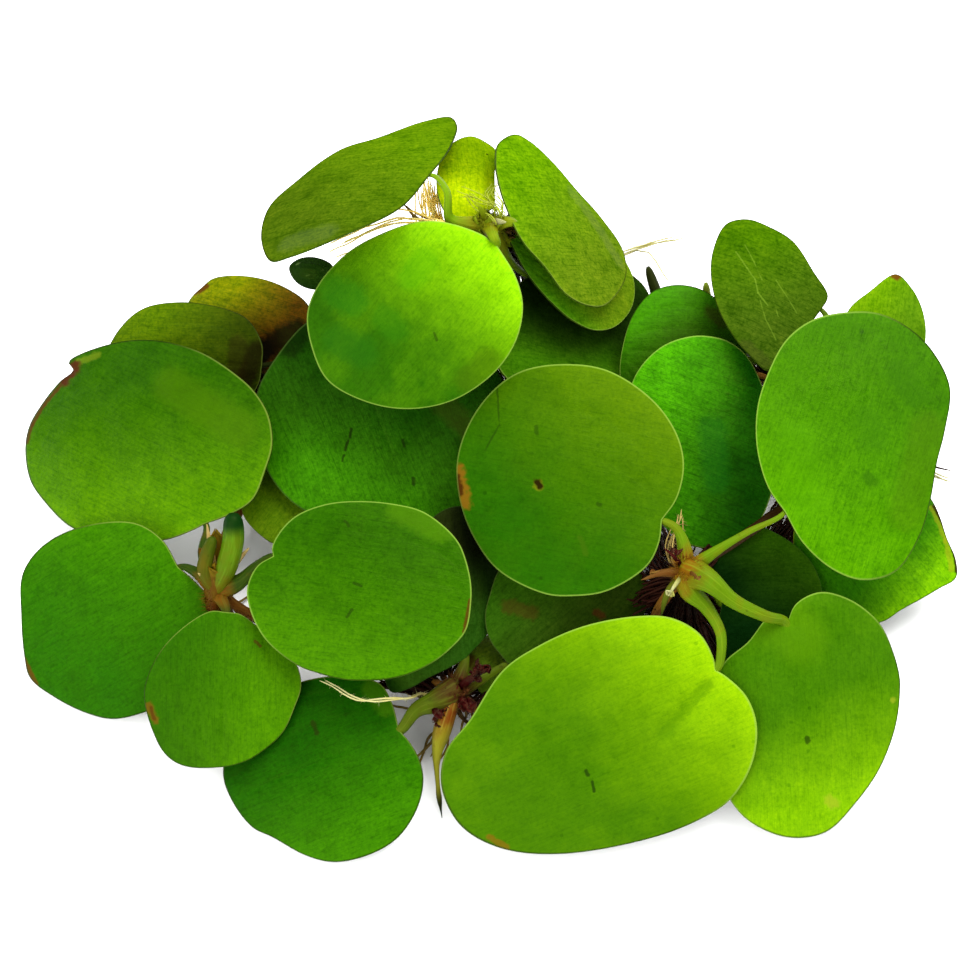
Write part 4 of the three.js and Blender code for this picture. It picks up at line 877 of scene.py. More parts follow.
def frames_along(line, up=None):
    """Unit vectors across a line, turned as little as possible from point to point"""
    tangents = np.gradient(line, axis=0)
    tangents /= np.linalg.norm(tangents, axis=1, keepdims=True)
    start = np.array(up if up is not None else (0.31, 0.22, 0.92))
    first = unit(np.cross(tangents[0], start))
    across = [first]
    for tangent in tangents[1:]:
        across.append(unit(across[-1] - tangent * (across[-1] @ tangent)))
    across = np.array(across)
    return across, np.cross(across, tangents)


def add_tube(shape, line, radii, sides, slot=0, flat=1.0, ribs=0, rib_depth=0.0, roll=0.0, up=None):
    """A closed tube along a line. flat narrows it, ribs groove it, and roll makes its edge overlap."""
    across, over = frames_along(line, up)
    turn = np.arange(sides) / sides
    angles = turn * 2 * math.pi
    form = 1 + rib_depth * np.cos(ribs * angles) + roll * turn
    radii = np.asarray(radii)[:, None]
    points = (line[:, None, :]
              + across[:, None, :] * (radii * form * np.cos(angles))[..., None]
              + over[:, None, :] * (radii * form * np.sin(angles) * flat)[..., None])
    run = distances(line)
    place = np.stack(np.broadcast_arrays(run[:, None], turn, (run / run[-1])[:, None]), axis=-1)
    points = np.vstack([points.reshape(-1, 3), line[:1], line[-1:]])
    place = np.vstack([place.reshape(-1, 3), [[0, 0.5, 0]], [[run[-1], 0.5, 1]]])
    faces = ring_faces(len(line), sides)
    first = len(line) * sides
    last_ring = first - sides
    for side in range(sides):
        after = (side + 1) % sides
        faces.append((after, side, first))
        faces.append((last_ring + side, last_ring + after, first + 1))
    shape.add(points, faces, slot, place=place, tone=place[:, 2])


def add_hairs(shape, roots, tips, radius, slot):
    """Fine needles, each of four faces"""
    roots, tips = np.asarray(roots, float), np.asarray(tips, float)
    way = tips - roots
    way /= np.linalg.norm(way, axis=1, keepdims=True) + 1e-9
    side = np.cross(way, (0.3, 0.5, 0.81))
    side /= np.linalg.norm(side, axis=1, keepdims=True) + 1e-9
    over = np.cross(way, side)
    back = roots - side * radius / 2
    lift = over * radius * 0.87
    corners = [roots + side * radius, back + lift, back - lift, tips]
    points = np.stack(corners, axis=1).reshape(-1, 3)
    faces = []
    for hair in range(len(roots)):
        a = hair * 4
        faces += [(a, a + 2, a + 1), (a, a + 1, a + 3), (a + 1, a + 2, a + 3), (a + 2, a, a + 3)]
    place = np.tile([[0, 0, 0.3]] * 3 + [[1, 0, 1]], (len(roots), 1))
    shape.add(points, faces, slot, place=place, tone=place[:, 2], vein=np.ones(len(points)))


def add_sheet(shape, grid, thickness, slot):
    """A thin closed sheet from a grid of points, rows along it and columns across it"""
    rows, columns = grid.shape[:2]
    along, across = np.gradient(grid, axis=0), np.gradient(grid, axis=1)
    normal = np.cross(along, across)
    normal /= np.linalg.norm(normal, axis=2, keepdims=True) + 1e-9
    upper = (grid + normal * thickness / 2).reshape(-1, 3)
    lower = (grid - normal * thickness / 2).reshape(-1, 3)
    size = rows * columns
    faces = []
    for row in range(rows - 1):
        for column in range(columns - 1):
            a = row * columns + column
            faces.append((a, a + columns, a + columns + 1, a + 1))
            faces.append((size + a, size + a + 1, size + a + columns + 1, size + a + columns))
    border = [
        *range(columns), *range(2 * columns - 1, size, columns),
        *range(size - 2, size - columns - 1, -1), *range(size - 2 * columns, 0, -columns),
    ]
    for a, b in zip(border, border[1:] + border[:1]):
        faces.append((a, b, size + b, size + a))
    share = np.broadcast_to(np.linspace(0, 1, rows)[:, None], (rows, columns))
    width = np.broadcast_to(np.linspace(-1, 1, columns), (rows, columns))
    place = np.stack([share * 10, width, share], axis=-1).reshape(-1, 3)
    points = np.vstack([upper, lower])
    shape.add(points, faces, slot, place=np.vstack([place, place]), tone=np.tile(share.ravel(), 2))


# Node materials

SCENE_LIGHT = 2.6


def linear(colour):
    """An eight-bit colour to the numbers that shaders use"""
    parts = [c / 255 for c in colour]
    return (*(c / 12.92 if c <= 0.04045 else ((c + 0.055) / 1.055) ** 2.4 for c in parts), 1.0)


def pigment(colour):
    """The base colour that looks like an eight-bit picture colour in the light of this scene"""
    return (*(part / SCENE_LIGHT for part in linear(colour)[:3]), 1.0)


class Nodes:
    """The node tree of a material, or of a group, with one call for each node"""

    def __init__(self, name, group=False):
        if group:
            self.tree = bpy.data.node_groups.new(name, "ShaderNodeTree")
            return
        self.material = bpy.data.materials.new(name)
        self.material.use_nodes = True
        self.tree = self.material.node_tree
        self.tree.nodes.clear()

    def add(self, kind, inputs=(), out=0, **settings):
        node = self.tree.nodes.new(kind)
        for key, value in settings.items():
            setattr(node, key, value)
        for key, value in dict(inputs).items():
            if isinstance(value, bpy.types.NodeSocket):
                self.tree.links.new(value, node.inputs[key])
            else:
                node.inputs[key].default_value = value
        return node.outputs[out] if node.outputs else node

    def here(self):
        return self.add("ShaderNodeTexCoord", out="Object")

    def value(self, name):
        return self.add("ShaderNodeAttribute", out="Fac", attribute_name=name)

    def place(self):
        return self.add("ShaderNodeAttribute", out="Vector", attribute_name="place")

    def parts(self, vector):
        return self.add("ShaderNodeSeparateXYZ", {0: vector}).node.outputs[:3]

    def math(self, operation, a, b=0.0, clamp=False):
        return self.add("ShaderNodeMath", {0: a, 1: b}, operation=operation, use_clamp=clamp)

    def vector_math(self, operation, a, b, out="Vector"):
        second = "Scale" if operation == "SCALE" else 1
        return self.add("ShaderNodeVectorMath", {0: a, second: b}, out=out, operation=operation)

    def spread(self, value, low, high, to_low=0.0, to_high=1.0):
        inputs = {0: value, 1: low, 2: high, 3: to_low, 4: to_high}
        return self.add("ShaderNodeMapRange", inputs, interpolation_type="SMOOTHSTEP")

    def mix(self, share, a, b, blend="MIX"):
        inputs = {0: share, 6: a, 7: b}
        return self.add("ShaderNodeMix", inputs, out=2, data_type="RGBA", blend_type=blend)

    def tinted(self, share, colour, tint):
        return self.mix(share, colour, self.mix(1, colour, tint, "MULTIPLY"))

    def grain(self, vector, scale, detail=3.0, roughness=0.55, out=0):
        """Noise of so many cells to the metre, or to the millimetre of a place along a piece"""
        inputs = {"Vector": vector, "Scale": scale, "Detail": detail, "Roughness": roughness}
        return self.add("ShaderNodeTexNoise", inputs, out=out)

    def stretch(self, vector, along, around):
        return self.add("ShaderNodeMapping", {"Vector": vector, "Scale": (along, around, 0)})

    def bump(self, height, distance, strength=1.0):
        return self.add("ShaderNodeBump", {"Strength": strength, "Distance": distance, "Height": height})

    def surface(self, colour, roughness, gloss, **others):
        named = {key.replace("_", " "): value for key, value in others.items()}
        inputs = {"Base Color": colour, "Roughness": roughness, "Specular IOR Level": gloss, **named}
        self.add("ShaderNodeOutputMaterial", {0: self.add("ShaderNodeBsdfPrincipled", inputs)})
        return self.material


def mark_group():
    """A node group that gives 1 within a radius of the line between two points, fading over a soft edge"""
    nodes = Nodes("leaf_mark", group=True)
    kinds = dict(Start="Vector", End="Vector", Radius="Float", Soft="Float", Ragged="Float")
    for name, kind in kinds.items():
        nodes.tree.interface.new_socket(name, in_out="INPUT", socket_type=f"NodeSocket{kind}")
    nodes.tree.interface.new_socket("Share", in_out="OUTPUT", socket_type="NodeSocketFloat")
    start, end, radius, soft, ragged = nodes.add("NodeGroupInput").node.outputs[:len(kinds)]
    here = nodes.here()
    noisy = nodes.grain(here, RAGGED_NOISE, 3, 0.5, out="Color")
    shift = nodes.vector_math("SCALE", nodes.vector_math("SUBTRACT", noisy, (0.5, 0.5, 0.5)), ragged)
    span = nodes.vector_math("SUBTRACT", end, start)
    offset = nodes.vector_math("SUBTRACT", nodes.vector_math("ADD", here, shift), start)
    reached = nodes.vector_math("DOT_PRODUCT", offset, span, out="Value")
    whole = nodes.vector_math("DOT_PRODUCT", span, span, out="Value")
    nearest = nodes.vector_math("SCALE", span, nodes.math("DIVIDE", reached, whole, clamp=True))
    distance = nodes.vector_math("DISTANCE", offset, nearest, out="Value")
    outer = nodes.math("ADD", radius, soft)
    nodes.add("NodeGroupOutput", {"Share": nodes.spread(distance, radius, outer, 1, 0)})
    return nodes.tree


RAGGED_NOISE = 1400
MARK = mark_group()
MARK_SOFT_SHARE = 0.9
MARK_RAGGED_SHARE = 1.6
MARK_RAGGED_MOST = 0.9
POINT_MARK_LENGTH = 1e-5
RIM_STRENGTH = 0.6
BUMP_DISTANCE = 0.00008
DARKER = (0.66, 0.76, 0.55, 1)
LIGHTER = (1.3, 1.16, 1.3, 1)
GREEN_SHEEN = (0.5, 0.8, 0.06, 1)
STEM_SHEEN = (0.9, 0.85, 0.35, 1)

# Patches on a blade: the noise, where on it they begin and are full, their strength and their tint
BLADE_PATCHES = [
    ("blots", 0.48, 0.7, 0.4, DARKER),
    ("streaks", 0.42, 0.72, 0.55, DARKER),
    ("clouds", 0.52, 0.72, 0.55, LIGHTER),
    ("clouds", 0.48, 0.3, 0.6, DARKER),
    ("lines", 0.5, 0.7, 0.55, DARKER),
    ("speckle", 0.5, 0.64, 0.65, DARKER),
    ("speckle", 0.47, 0.34, 0.65, LIGHTER),
]
FLECK_SCALE = 420.0
VEIN_TINT = 0.2
RIM_TINT = 0.3


def leaf_material(name, look, surface):
    """A blade's upper side, with its patches, flecks, marks and rim. Its near and far colours, its rim and
    some of its marks are painted light and shade.
    """
    nodes = Nodes(name)
    here, place = nodes.here(), nodes.place()
    share = nodes.parts(place)[2]
    noises = {
        "blots": nodes.grain(here, 240, 2),
        "streaks": nodes.grain(nodes.stretch(place, 0.3, 2.4), 1.0, 4, 0.65),
        "clouds": nodes.grain(here, 520, 5, 0.7),
        "lines": nodes.grain(nodes.stretch(place, 0.4, 6.5), 1.0, 2, 0.5),
        "speckle": nodes.grain(here, 2300, 3, 0.75),
    }
    uneven = nodes.spread(nodes.grain(here, 150, 3, 0.6), 0.3, 0.7, -0.07, 0.07)
    # The mix of near and far colours, which carries painted light and shade as well as the leaf's own tone
    tone = nodes.math("ADD", nodes.value("tone"), uneven, clamp=True)
    colour = nodes.mix(tone, pigment(look["near"]), pigment(look["far"]))
    for noise_name, begin, full, strength, tint in BLADE_PATCHES:
        patch = nodes.spread(noises[noise_name], begin, full, 0, strength * look["grain"])
        colour = nodes.tinted(patch, colour, tint)
    colour = nodes.tinted(nodes.math("MULTIPLY", nodes.value("vein"), VEIN_TINT), colour, LIGHTER)
    colour = nodes.tinted(nodes.spread(share, 0.86, 0.98, 0, RIM_TINT), colour, LIGHTER)
    dots = nodes.add("ShaderNodeTexVoronoi", {"Vector": here, "Scale": FLECK_SCALE})
    chance = nodes.parts(dots.node.outputs["Color"])[0]
    fleck = nodes.math("MULTIPLY", nodes.spread(dots, 0.06, 0.14, 1, 0), nodes.spread(chance, 0.8, 0.84))
    colour = nodes.tinted(fleck, colour, DARKER)
    for start, end, radius, mark_colour, strength in look["marks"]:
        first, last = (surface.at(*point)[0] * MM for point in (start, end))
        if start == end:
            last = last + (POINT_MARK_LENGTH, 0, 0)
        inputs = {
            "Start": first, "End": last, "Radius": radius * MM * (1 - MARK_SOFT_SHARE / 2),
            "Soft": radius * MM * MARK_SOFT_SHARE,
            "Ragged": min(radius, MARK_RAGGED_MOST) * MM * MARK_RAGGED_SHARE,
        }
        marked = nodes.math("MULTIPLY", nodes.add("ShaderNodeGroup", inputs, node_tree=MARK), strength)
        colour = nodes.mix(marked, colour, pigment(mark_colour))
    # The thin rim line: the blade's pale margin with painted sheen, turning to painted shade on its shaded
    # side as the edge value rises
    rim = nodes.math("MULTIPLY", nodes.spread(share, 0.984, 0.992), RIM_STRENGTH)
    edge = nodes.mix(nodes.value("edge"), pigment(look["rim"]), pigment(SHADED_RIM))
    height = nodes.math("ADD", nodes.math("MULTIPLY", noises["lines"], 0.5), noises["speckle"])
    return nodes.surface(
        nodes.mix(rim, colour, edge), nodes.spread(nodes.grain(here, 130, 2, 0.5), 0.35, 0.65, 0.32, 0.5),
        look["gloss"], Specular_Tint=GREEN_SHEEN, Normal=nodes.bump(height, BUMP_DISTANCE, 0.7),
    )


def under_material():
    """The spongy underside of a blade"""
    nodes = Nodes("leaf_underside")
    here = nodes.here()
    cells = nodes.add("ShaderNodeTexVoronoi", {"Vector": here, "Scale": 900.0}, feature="DISTANCE_TO_EDGE")
    patches = nodes.spread(nodes.grain(here, 260, 3), 0.35, 0.65)
    colour = nodes.mix(patches, pigment((60, 92, 12)), pigment((84, 118, 22)))
    colour = nodes.mix(nodes.spread(cells, 0, 0.2, 0.5, 0), colour, pigment((42, 70, 8)))
    normal = nodes.bump(cells, 0.0001, 0.6)
    return nodes.surface(colour, 0.7, 0.06, Specular_Tint=GREEN_SHEEN, Normal=normal)


def stem_material(name, foot, tip, stripe, blotch, reach=None, end=None, roughness=0.45):
    """Stem tissue, striped lengthwise, that changes colour from its foot to its tip"""
    nodes = Nodes(name)
    here, place = nodes.here(), nodes.place()
    run, share = nodes.parts(place)[::2]
    along = nodes.spread(run, reach * 0.25, reach) if reach else share
    uneven = nodes.spread(nodes.grain(here, 500, 3), 0.3, 0.7, -0.2, 0.2)
    colour = nodes.mix(nodes.math("ADD", along, uneven, clamp=True), pigment(foot), pigment(tip))
    lines = nodes.grain(nodes.stretch(place, 0.25, 26), 1.0, 3)
    colour = nodes.mix(nodes.spread(lines, 0.45, 0.7, 0, 0.4), colour, pigment(stripe))
    spots = nodes.grain(here, 900, 4, 0.7)
    colour = nodes.mix(nodes.spread(spots, 0.6, 0.78, 0, 0.7), colour, pigment(blotch))
    if end:
        colour = nodes.mix(nodes.spread(share, 0.72, 0.9), colour, pigment(end))
    normal = nodes.bump(lines, BUMP_DISTANCE, 0.6)
    return nodes.surface(colour, roughness, 0.06, Specular_Tint=STEM_SHEEN, Normal=normal)


def root_material(name, pale, deep):
    """Fine roots: deep at the crown and in patches, pale towards the tips and in the side hairs"""
    nodes = Nodes(name)
    here = nodes.here()
    share = nodes.spread(nodes.parts(nodes.place())[2], 0.0, 0.8)
    uneven = nodes.spread(nodes.grain(here, 330, 4, 0.65), 0.3, 0.7, -0.45, 0.45)
    colour = nodes.mix(nodes.math("ADD", share, uneven, clamp=True), pigment(deep), pigment(pale))
    colour = nodes.mix(nodes.math("MULTIPLY", nodes.value("vein"), 0.35), colour, pigment(pale))
    normal = nodes.bump(nodes.grain(here, 3000, 2), 0.00003, 0.4)
    return nodes.surface(colour, 0.55, 0.08, Specular_Tint=STEM_SHEEN, Normal=normal)


def paper_material(name, pale, deep, stain, roughness=0.5, gloss=0.1):
    """Sheaths and papery bracts: pale and thin at the tip, deep at the foot, with fine lengthwise lines"""
    nodes = Nodes(name)
    here, place = nodes.here(), nodes.place()
    lines = nodes.grain(nodes.stretch(place, 0.3, 9), 1.0, 3)
    uneven = nodes.spread(nodes.grain(here, 700, 3), 0.3, 0.7, -0.25, 0.25)
    share = nodes.math("ADD", nodes.parts(place)[2], uneven, clamp=True)
    colour = nodes.mix(share, pigment(deep), pigment(pale))
    colour = nodes.mix(nodes.spread(lines, 0.45, 0.7, 0, 0.6), colour, pigment(deep))
    stains = nodes.grain(here, 450, 4, 0.7)
    colour = nodes.mix(nodes.spread(stains, 0.55, 0.72, 0, 0.85), colour, pigment(stain))
    normal = nodes.bump(lines, 0.0001, 0.7)
    return nodes.surface(colour, roughness, gloss, Specular_Tint=STEM_SHEEN, Normal=normal)


# Leaves

class Blade:
    """A blade's surface: a plane through three seen points, gently arched"""

    def __init__(self, leaf):
        self.base, self.far, side = (seen(*leaf[key]) for key in ("base", "far", "side"))
        self.normal = unit(np.cross(self.far - self.base, side - self.base))
        if self.normal @ VIEW_FORWARD > 0:
            self.normal = -self.normal
        self.along = unit(self.far - self.base)
        self.across = np.cross(self.normal, self.along)
        self.middle = (self.base + self.far) / 2
        self.half_length = np.linalg.norm(self.far - self.base) / 2
        self.half_width = abs((side - self.middle) @ self.across)

    def shares(self, points):
        offset = points - self.middle
        return offset @ self.along / self.half_length, offset @ self.across / self.half_width

    def at(self, px, py):
        way = rays(np.atleast_1d(px), np.atleast_1d(py))
        level = self.normal @ self.base - self.normal @ VIEW_EYE
        slope = way @ self.normal
        points = VIEW_EYE + way * (level / slope)[:, None]
        for _ in range(3):
            along, across = self.shares(points)
            rise = LEAF_ARCH * (1 - along**2 - across**2)
            points = VIEW_EYE + way * ((level + rise) / slope)[:, None]
        return points


VEINS = (-0.68, -0.36, 0.0, 0.36, 0.68)
VEIN_WIDTH = 0.28
VEIN_DEPTH = 0.07
WRINKLE = 0.16
WRINKLE_SIZE = 7.0
RIPPLE = 0.035
RIPPLE_SIZE = 1.6
RIPPLE_SEED = 40
RIM_DROP = 0.14
RIM_CALM = 0.75
UNDER_BEND = 1.2
EDGE_SOFTNESS = 1.4
PETIOLE_POINTS = 36
PETIOLE_NECK = 0.55


def fold_share(surface, points, first, last, half_width):
    """1 on the line between two picture points, fading to each side and at the ends"""
    start, end = (surface.at(*point)[0] for point in (first, last))
    span = end - start
    share = (points - start) @ span / (span @ span)
    inside = np.clip(share, 0, 1)
    distance = np.linalg.norm(points - start - inside[:, None] * span, axis=1)
    return np.exp(-((distance / half_width) ** 2)) * np.sin(math.pi * lerp(0.15, 0.85, inside))


def add_upper_side(shape, surface, look, rim, middle, number):
    """The green side of a blade, with its veins, waves and folds"""
    step = np.arange(1, UPPER_RINGS + 1) / UPPER_RINGS
    shares = 0.55 * step + 0.45 * np.sin(step * math.pi / 2)
    flat = middle + (rim[None] - middle) * shares[:, None, None]
    flat = np.vstack([middle[None], flat.reshape(-1, 2)])
    share = np.concatenate([[0], np.repeat(shares, LEAF_SPOKES)])
    points = surface.at(flat[:, 0], flat[:, 1])
    along, across = surface.shares(points)
    place = np.stack([along * surface.half_length, across * surface.half_width, share], axis=1)
    width = np.sqrt(np.clip(1 - along**2, 0.04, 1))
    from_middle = across / width
    scale = surface.half_width * width / VEIN_WIDTH
    vein = sum(np.exp(-(((from_middle - vein_place) * scale) ** 2)) for vein_place in VEINS)
    vein = np.clip(vein, 0, 1) * ease((0.97 - share) / 0.12)
    relief = waves(points, WRINKLE_SIZE, number) * WRINKLE * ease(share * 4)
    relief += waves(points, RIPPLE_SIZE, number + RIPPLE_SEED) * RIPPLE
    relief -= vein * VEIN_DEPTH + RIM_DROP * ease((share - 0.94) / 0.06)
    for first, last, half_width, height in look["folds"]:
        relief += height * fold_share(surface, points, first, last, half_width)
    relief *= 1 - RIM_CALM * ease((share - 0.9) / 0.1)
    points = points + surface.normal * relief[:, None]
    start, end = (np.array(point, float) for point in look["ends"])
    span = end - start
    tone = 1 - (1 - np.clip((flat - start) @ span / (span @ span), 0, 1)) ** look["fall"]
    # How much each rim point lies on the side with painted shade
    dark_x, dark_y, bias = look["dark"]
    outward = flat - middle
    outward /= np.linalg.norm(outward, axis=1, keepdims=True) + 1e-6
    edge = ease(0.5 + EDGE_SOFTNESS * (outward @ (dark_x, dark_y) + bias))
    fan = [(0, 1 + side, 1 + (side + 1) % LEAF_SPOKES) for side in range(LEAF_SPOKES)]
    faces = fan + ring_faces(UPPER_RINGS, LEAF_SPOKES, 1)
    shape.add(points, faces, 0, place=place, tone=tone, vein=vein, edge=edge)


def add_underside(shape, surface, rim, middle):
    """The spongy side of a blade, joined to the green side round the rim"""
    shares = 1 - (np.arange(UNDER_RINGS) / UNDER_RINGS) ** UNDER_BEND
    flat = (middle + (rim[None] - middle) * shares[:, None, None]).reshape(-1, 2)
    flat = np.vstack([flat, middle])
    share = np.concatenate([np.repeat(shares, LEAF_SPOKES), [0]])
    depth = lerp(LEAF_MIDDLE_THICKNESS, LEAF_RIM_THICKNESS, share**2)
    points = surface.at(flat[:, 0], flat[:, 1]) - surface.normal * depth[:, None]
    along, across = surface.shares(points)
    place = np.stack([along * surface.half_length, across * surface.half_width, share], axis=1)
    last = UNDER_RINGS * LEAF_SPOKES
    inner = last - LEAF_SPOKES
    sides = [(side, (side + 1) % LEAF_SPOKES) for side in range(LEAF_SPOKES)]
    fan = [(inner + side, inner + after, last) for side, after in sides]
    # The last ring of the green side comes just before this side's first point
    border = [(side - LEAF_SPOKES, after - LEAF_SPOKES, after, side) for side, after in sides]
    shape.add(points, ring_faces(UNDER_RINGS, LEAF_SPOKES) + fan + border, 1, place=place)


def add_petiole(shape, surface, leaf):
    """The stem of a leaf, from its crown to just inside the notch of its blade"""
    inside = lerp(np.array(leaf["base"][:2]), np.array(leaf["far"][:2]), PETIOLE_INSET_SHARE)
    ends = zip((leaf["base"][:2], inside), leaf.get("sunk", PETIOLE_SUNK))
    notch, inner = (surface.at(*place)[0] - surface.normal * depth for place, depth in ends)
    way = [crown_place(leaf["crown"]), *seen_way(leaf["way"]), notch, inner]
    line = spaced(smooth(way), PETIOLE_POINTS)
    share = np.linspace(0, 1, PETIOLE_POINTS)
    length = np.linalg.norm(np.diff(line, axis=0), axis=1).sum()
    radii = leaf["petiole"] * lerp(PETIOLE_FOOT_SHARE, PETIOLE_TIP_SHARE, share)
    radii *= 1 + PETIOLE_FLARE * np.exp(-((share * length / PETIOLE_FLARE_LENGTH) ** 2))
    radii *= lerp(1.0, PETIOLE_NECK, ease((share - 0.82) / 0.18))
    ribbed = dict(sides=18, ribs=5, rib_depth=0.06)
    add_tube(shape, line, radii, slot=2, flat=PETIOLE_FLATNESS, up=VIEW_FORWARD, **ribbed)


def leaf_piece(leaf, number):
    name = leaf["name"]
    look = {**LOOK_DEFAULTS, **LOOKS[name]}
    surface = Blade(leaf)
    notch = leaf["base"][:2]
    rim = spaced(smooth([notch, *leaf["rim"], notch], 24), LEAF_SPOKES + 1)[:-1]
    middle = rim.mean(axis=0)
    shape = Shape()
    add_upper_side(shape, surface, look, rim, middle, number)
    add_underside(shape, surface, rim, middle)
    add_petiole(shape, surface, leaf)
    green = leaf_material(name + "_green", look, surface)
    return shape.build(name + "_shown", [green, FINISHES["underside"], FINISHES["petiole_" + leaf["crown"]]])


# Crowns

SHEATHS = 9
SHEATH_TURN = 2.4
SHEATH_RADIUS = 0.95
SHEATH_FOOT = -2.3
SHEET_THICKNESS = 0.1
BRACT_THICKNESS = 0.12
BRACT_CURL = 0.35
BRACT_RISE = 0.5
CORE_RADIUS = 0.95
CORE_LOW = -2.7
CORE_HIGH = 1.5
CROWN_HAIRS = 560
CROWN_HAIR_START = 1.1
CROWN_HAIR_RADIUS = 0.045
UPWARD = np.array((0, 0, 1.0))


def add_bract(shape, line, half_width, slot, twist):
    """A pointed papery sheet along a line"""
    rows, columns = len(line), 7
    across, over = frames_along(line, VIEW_FORWARD)
    share = np.linspace(0, 1, rows)
    width = half_width * np.clip(np.sin(math.pi * lerp(0.24, 0.985, share)), 0.03, 1) ** 0.8
    t = np.linspace(-1, 1, columns)
    turn = twist * share
    side = across * np.cos(turn)[:, None] + over * np.sin(turn)[:, None]
    lift = np.cross(side, np.gradient(line, axis=0))
    lift /= np.linalg.norm(lift, axis=1, keepdims=True)
    grid = line[:, None] + side[:, None] * (width[:, None] * t)[..., None]
    grid += lift[:, None] * (BRACT_CURL * width[:, None] * (t**2 - 0.4))[..., None]
    add_sheet(shape, grid, BRACT_THICKNESS, slot)


def add_scrap(shape, middle, size, rng, slot):
    """A small crumpled sheet of withered tissue"""
    first = unit(np.array([rng.gauss(0, 1) for _ in range(3)]))
    second = unit(np.cross(first, [rng.gauss(0, 1) for _ in range(3)]))
    out = np.cross(first, second)
    steps = np.linspace(-1, 1, 7)
    u, v = np.meshgrid(steps, steps, indexing="ij")
    u, v = u * np.sqrt(1 - v**2 / 2), v * np.sqrt(1 - u**2 / 2)
    bend = rng.uniform(0.4, 0.9) * u**2 + 0.25 * np.sin(4 * v + rng.uniform(0, 6))
    bend += 0.2 * np.sin(5 * u + rng.uniform(0, 6))
    grid = middle + size * (u[..., None] * first + v[..., None] * second * 0.7 + bend[..., None] * out)
    add_sheet(shape, grid, SHEET_THICKNESS, slot)


def add_sheaths(shape, middle, axis, look, rng):
    """Sheaths that overlap in a spiral round a crown"""
    rows, across = np.linspace(0, 1, 14)[:, None], np.linspace(-1, 1, 9)[None]
    for sheath in range(SHEATHS):
        turn = sheath * SHEATH_TURN + rng.uniform(-0.2, 0.2)
        lean, tall = rng.uniform(*look["lean"]), rng.uniform(0.6, 1.0) * look["tall"]
        angle = turn + across * (1.2 * (1 - rows ** look["point"]) + 0.04)
        radius = SHEATH_RADIUS + 0.04 * sheath + lean * rows**1.5 - 0.12 * across**2
        radius = radius + (0.08 + 0.1 * rows) * np.sin(7 * across + sheath)
        height = SHEATH_FOOT + rows * (tall + 0.25 * np.sin(5 * across + 2 * sheath))
        circle = np.stack([radius * np.cos(angle), radius * np.sin(angle), 0 * radius], axis=-1)
        add_sheet(shape, middle + circle + height[..., None] * axis, SHEET_THICKNESS, slot=1)


def add_crown_hairs(shape, middle, axis, rng):
    """Fine hairs that stand out round a crown"""
    roots, tips = [], []
    for _ in range(CROWN_HAIRS):
        angle, height = rng.uniform(0, 2 * math.pi), rng.uniform(-2.2, 1.9)
        out = np.array((math.cos(angle), math.sin(angle), 0))
        start = middle + out * CROWN_HAIR_START + height * axis
        roots.append(start)
        tips.append(start + out * rng.uniform(0.3, 1.5) + rng.uniform(-0.6, 1.3) * UPWARD)
    add_hairs(shape, roots, tips, CROWN_HAIR_RADIUS, slot=1)


def crown_piece(name, number):
    look = CROWN_LOOKS[name]
    papers = list(dict.fromkeys(look["papers"]))
    rng = random.Random(number + CROWN_SEED)
    middle = crown_place(name)
    axis = unit(np.array((*look["tilt"], 1.0)))
    shape = Shape()
    heights = np.linspace(CORE_LOW, CORE_HIGH, 15)
    radii = CORE_RADIUS * np.sqrt(np.clip(1 - ((heights + 0.6) / 2.3) ** 2, 0.05, 1))
    add_tube(shape, middle + heights[:, None] * axis, radii, sides=28, ribs=9, rib_depth=0.07)
    add_sheaths(shape, middle, axis, look, rng)
    for tip, paper in zip(CROWNS[name]["bracts"], look["papers"]):
        end = seen(*tip)
        slot = 2 + papers.index(paper)
        bend = (middle + end) / 2 + BRACT_RISE * UPWARD
        line = spaced(smooth([middle, bend, end]), 12)
        add_bract(shape, line, look["bract"], slot, rng.uniform(-0.6, 0.6))
        for _ in range(look["scraps"]):
            place = lerp(middle, end, rng.uniform(0.55, 0.95)) + [rng.gauss(0, 0.35) for _ in range(3)]
            add_scrap(shape, place, rng.uniform(0.45, 0.8), rng, slot)
    add_crown_hairs(shape, middle, axis, rng)
    finishes = [FINISHES[key] for key in (look["flesh"], look["sheath"], *papers)]
    return shape.build(f"crown_{name}_shown", finishes)


# Roots

ROOT_SIDES = 5
ROOT_FOOT_RADII = (0.22, 0.32)
ROOT_TIP_RADIUS = 0.13
ROOT_DROP = 1.6
ROOT_WAIST_HEIGHT = 0.6
ROOT_KNEE_REACH = 0.52
LOOSE_ROOT_DROP = 3.6
LOOSE_ROOT_TIP_SHARE = 0.5
ROOT_BEND_SIZE = 2.4
ROOT_HAIR_STEP = 0.36
ROOT_HAIR_RADIUS = 0.032
BUNDLE_SPREAD = 0.36
LOWEST_ROOT = 0.01
LOWEST_HAIR_FOOT = 0.05
LOWEST_HAIR_TIP = 0.03


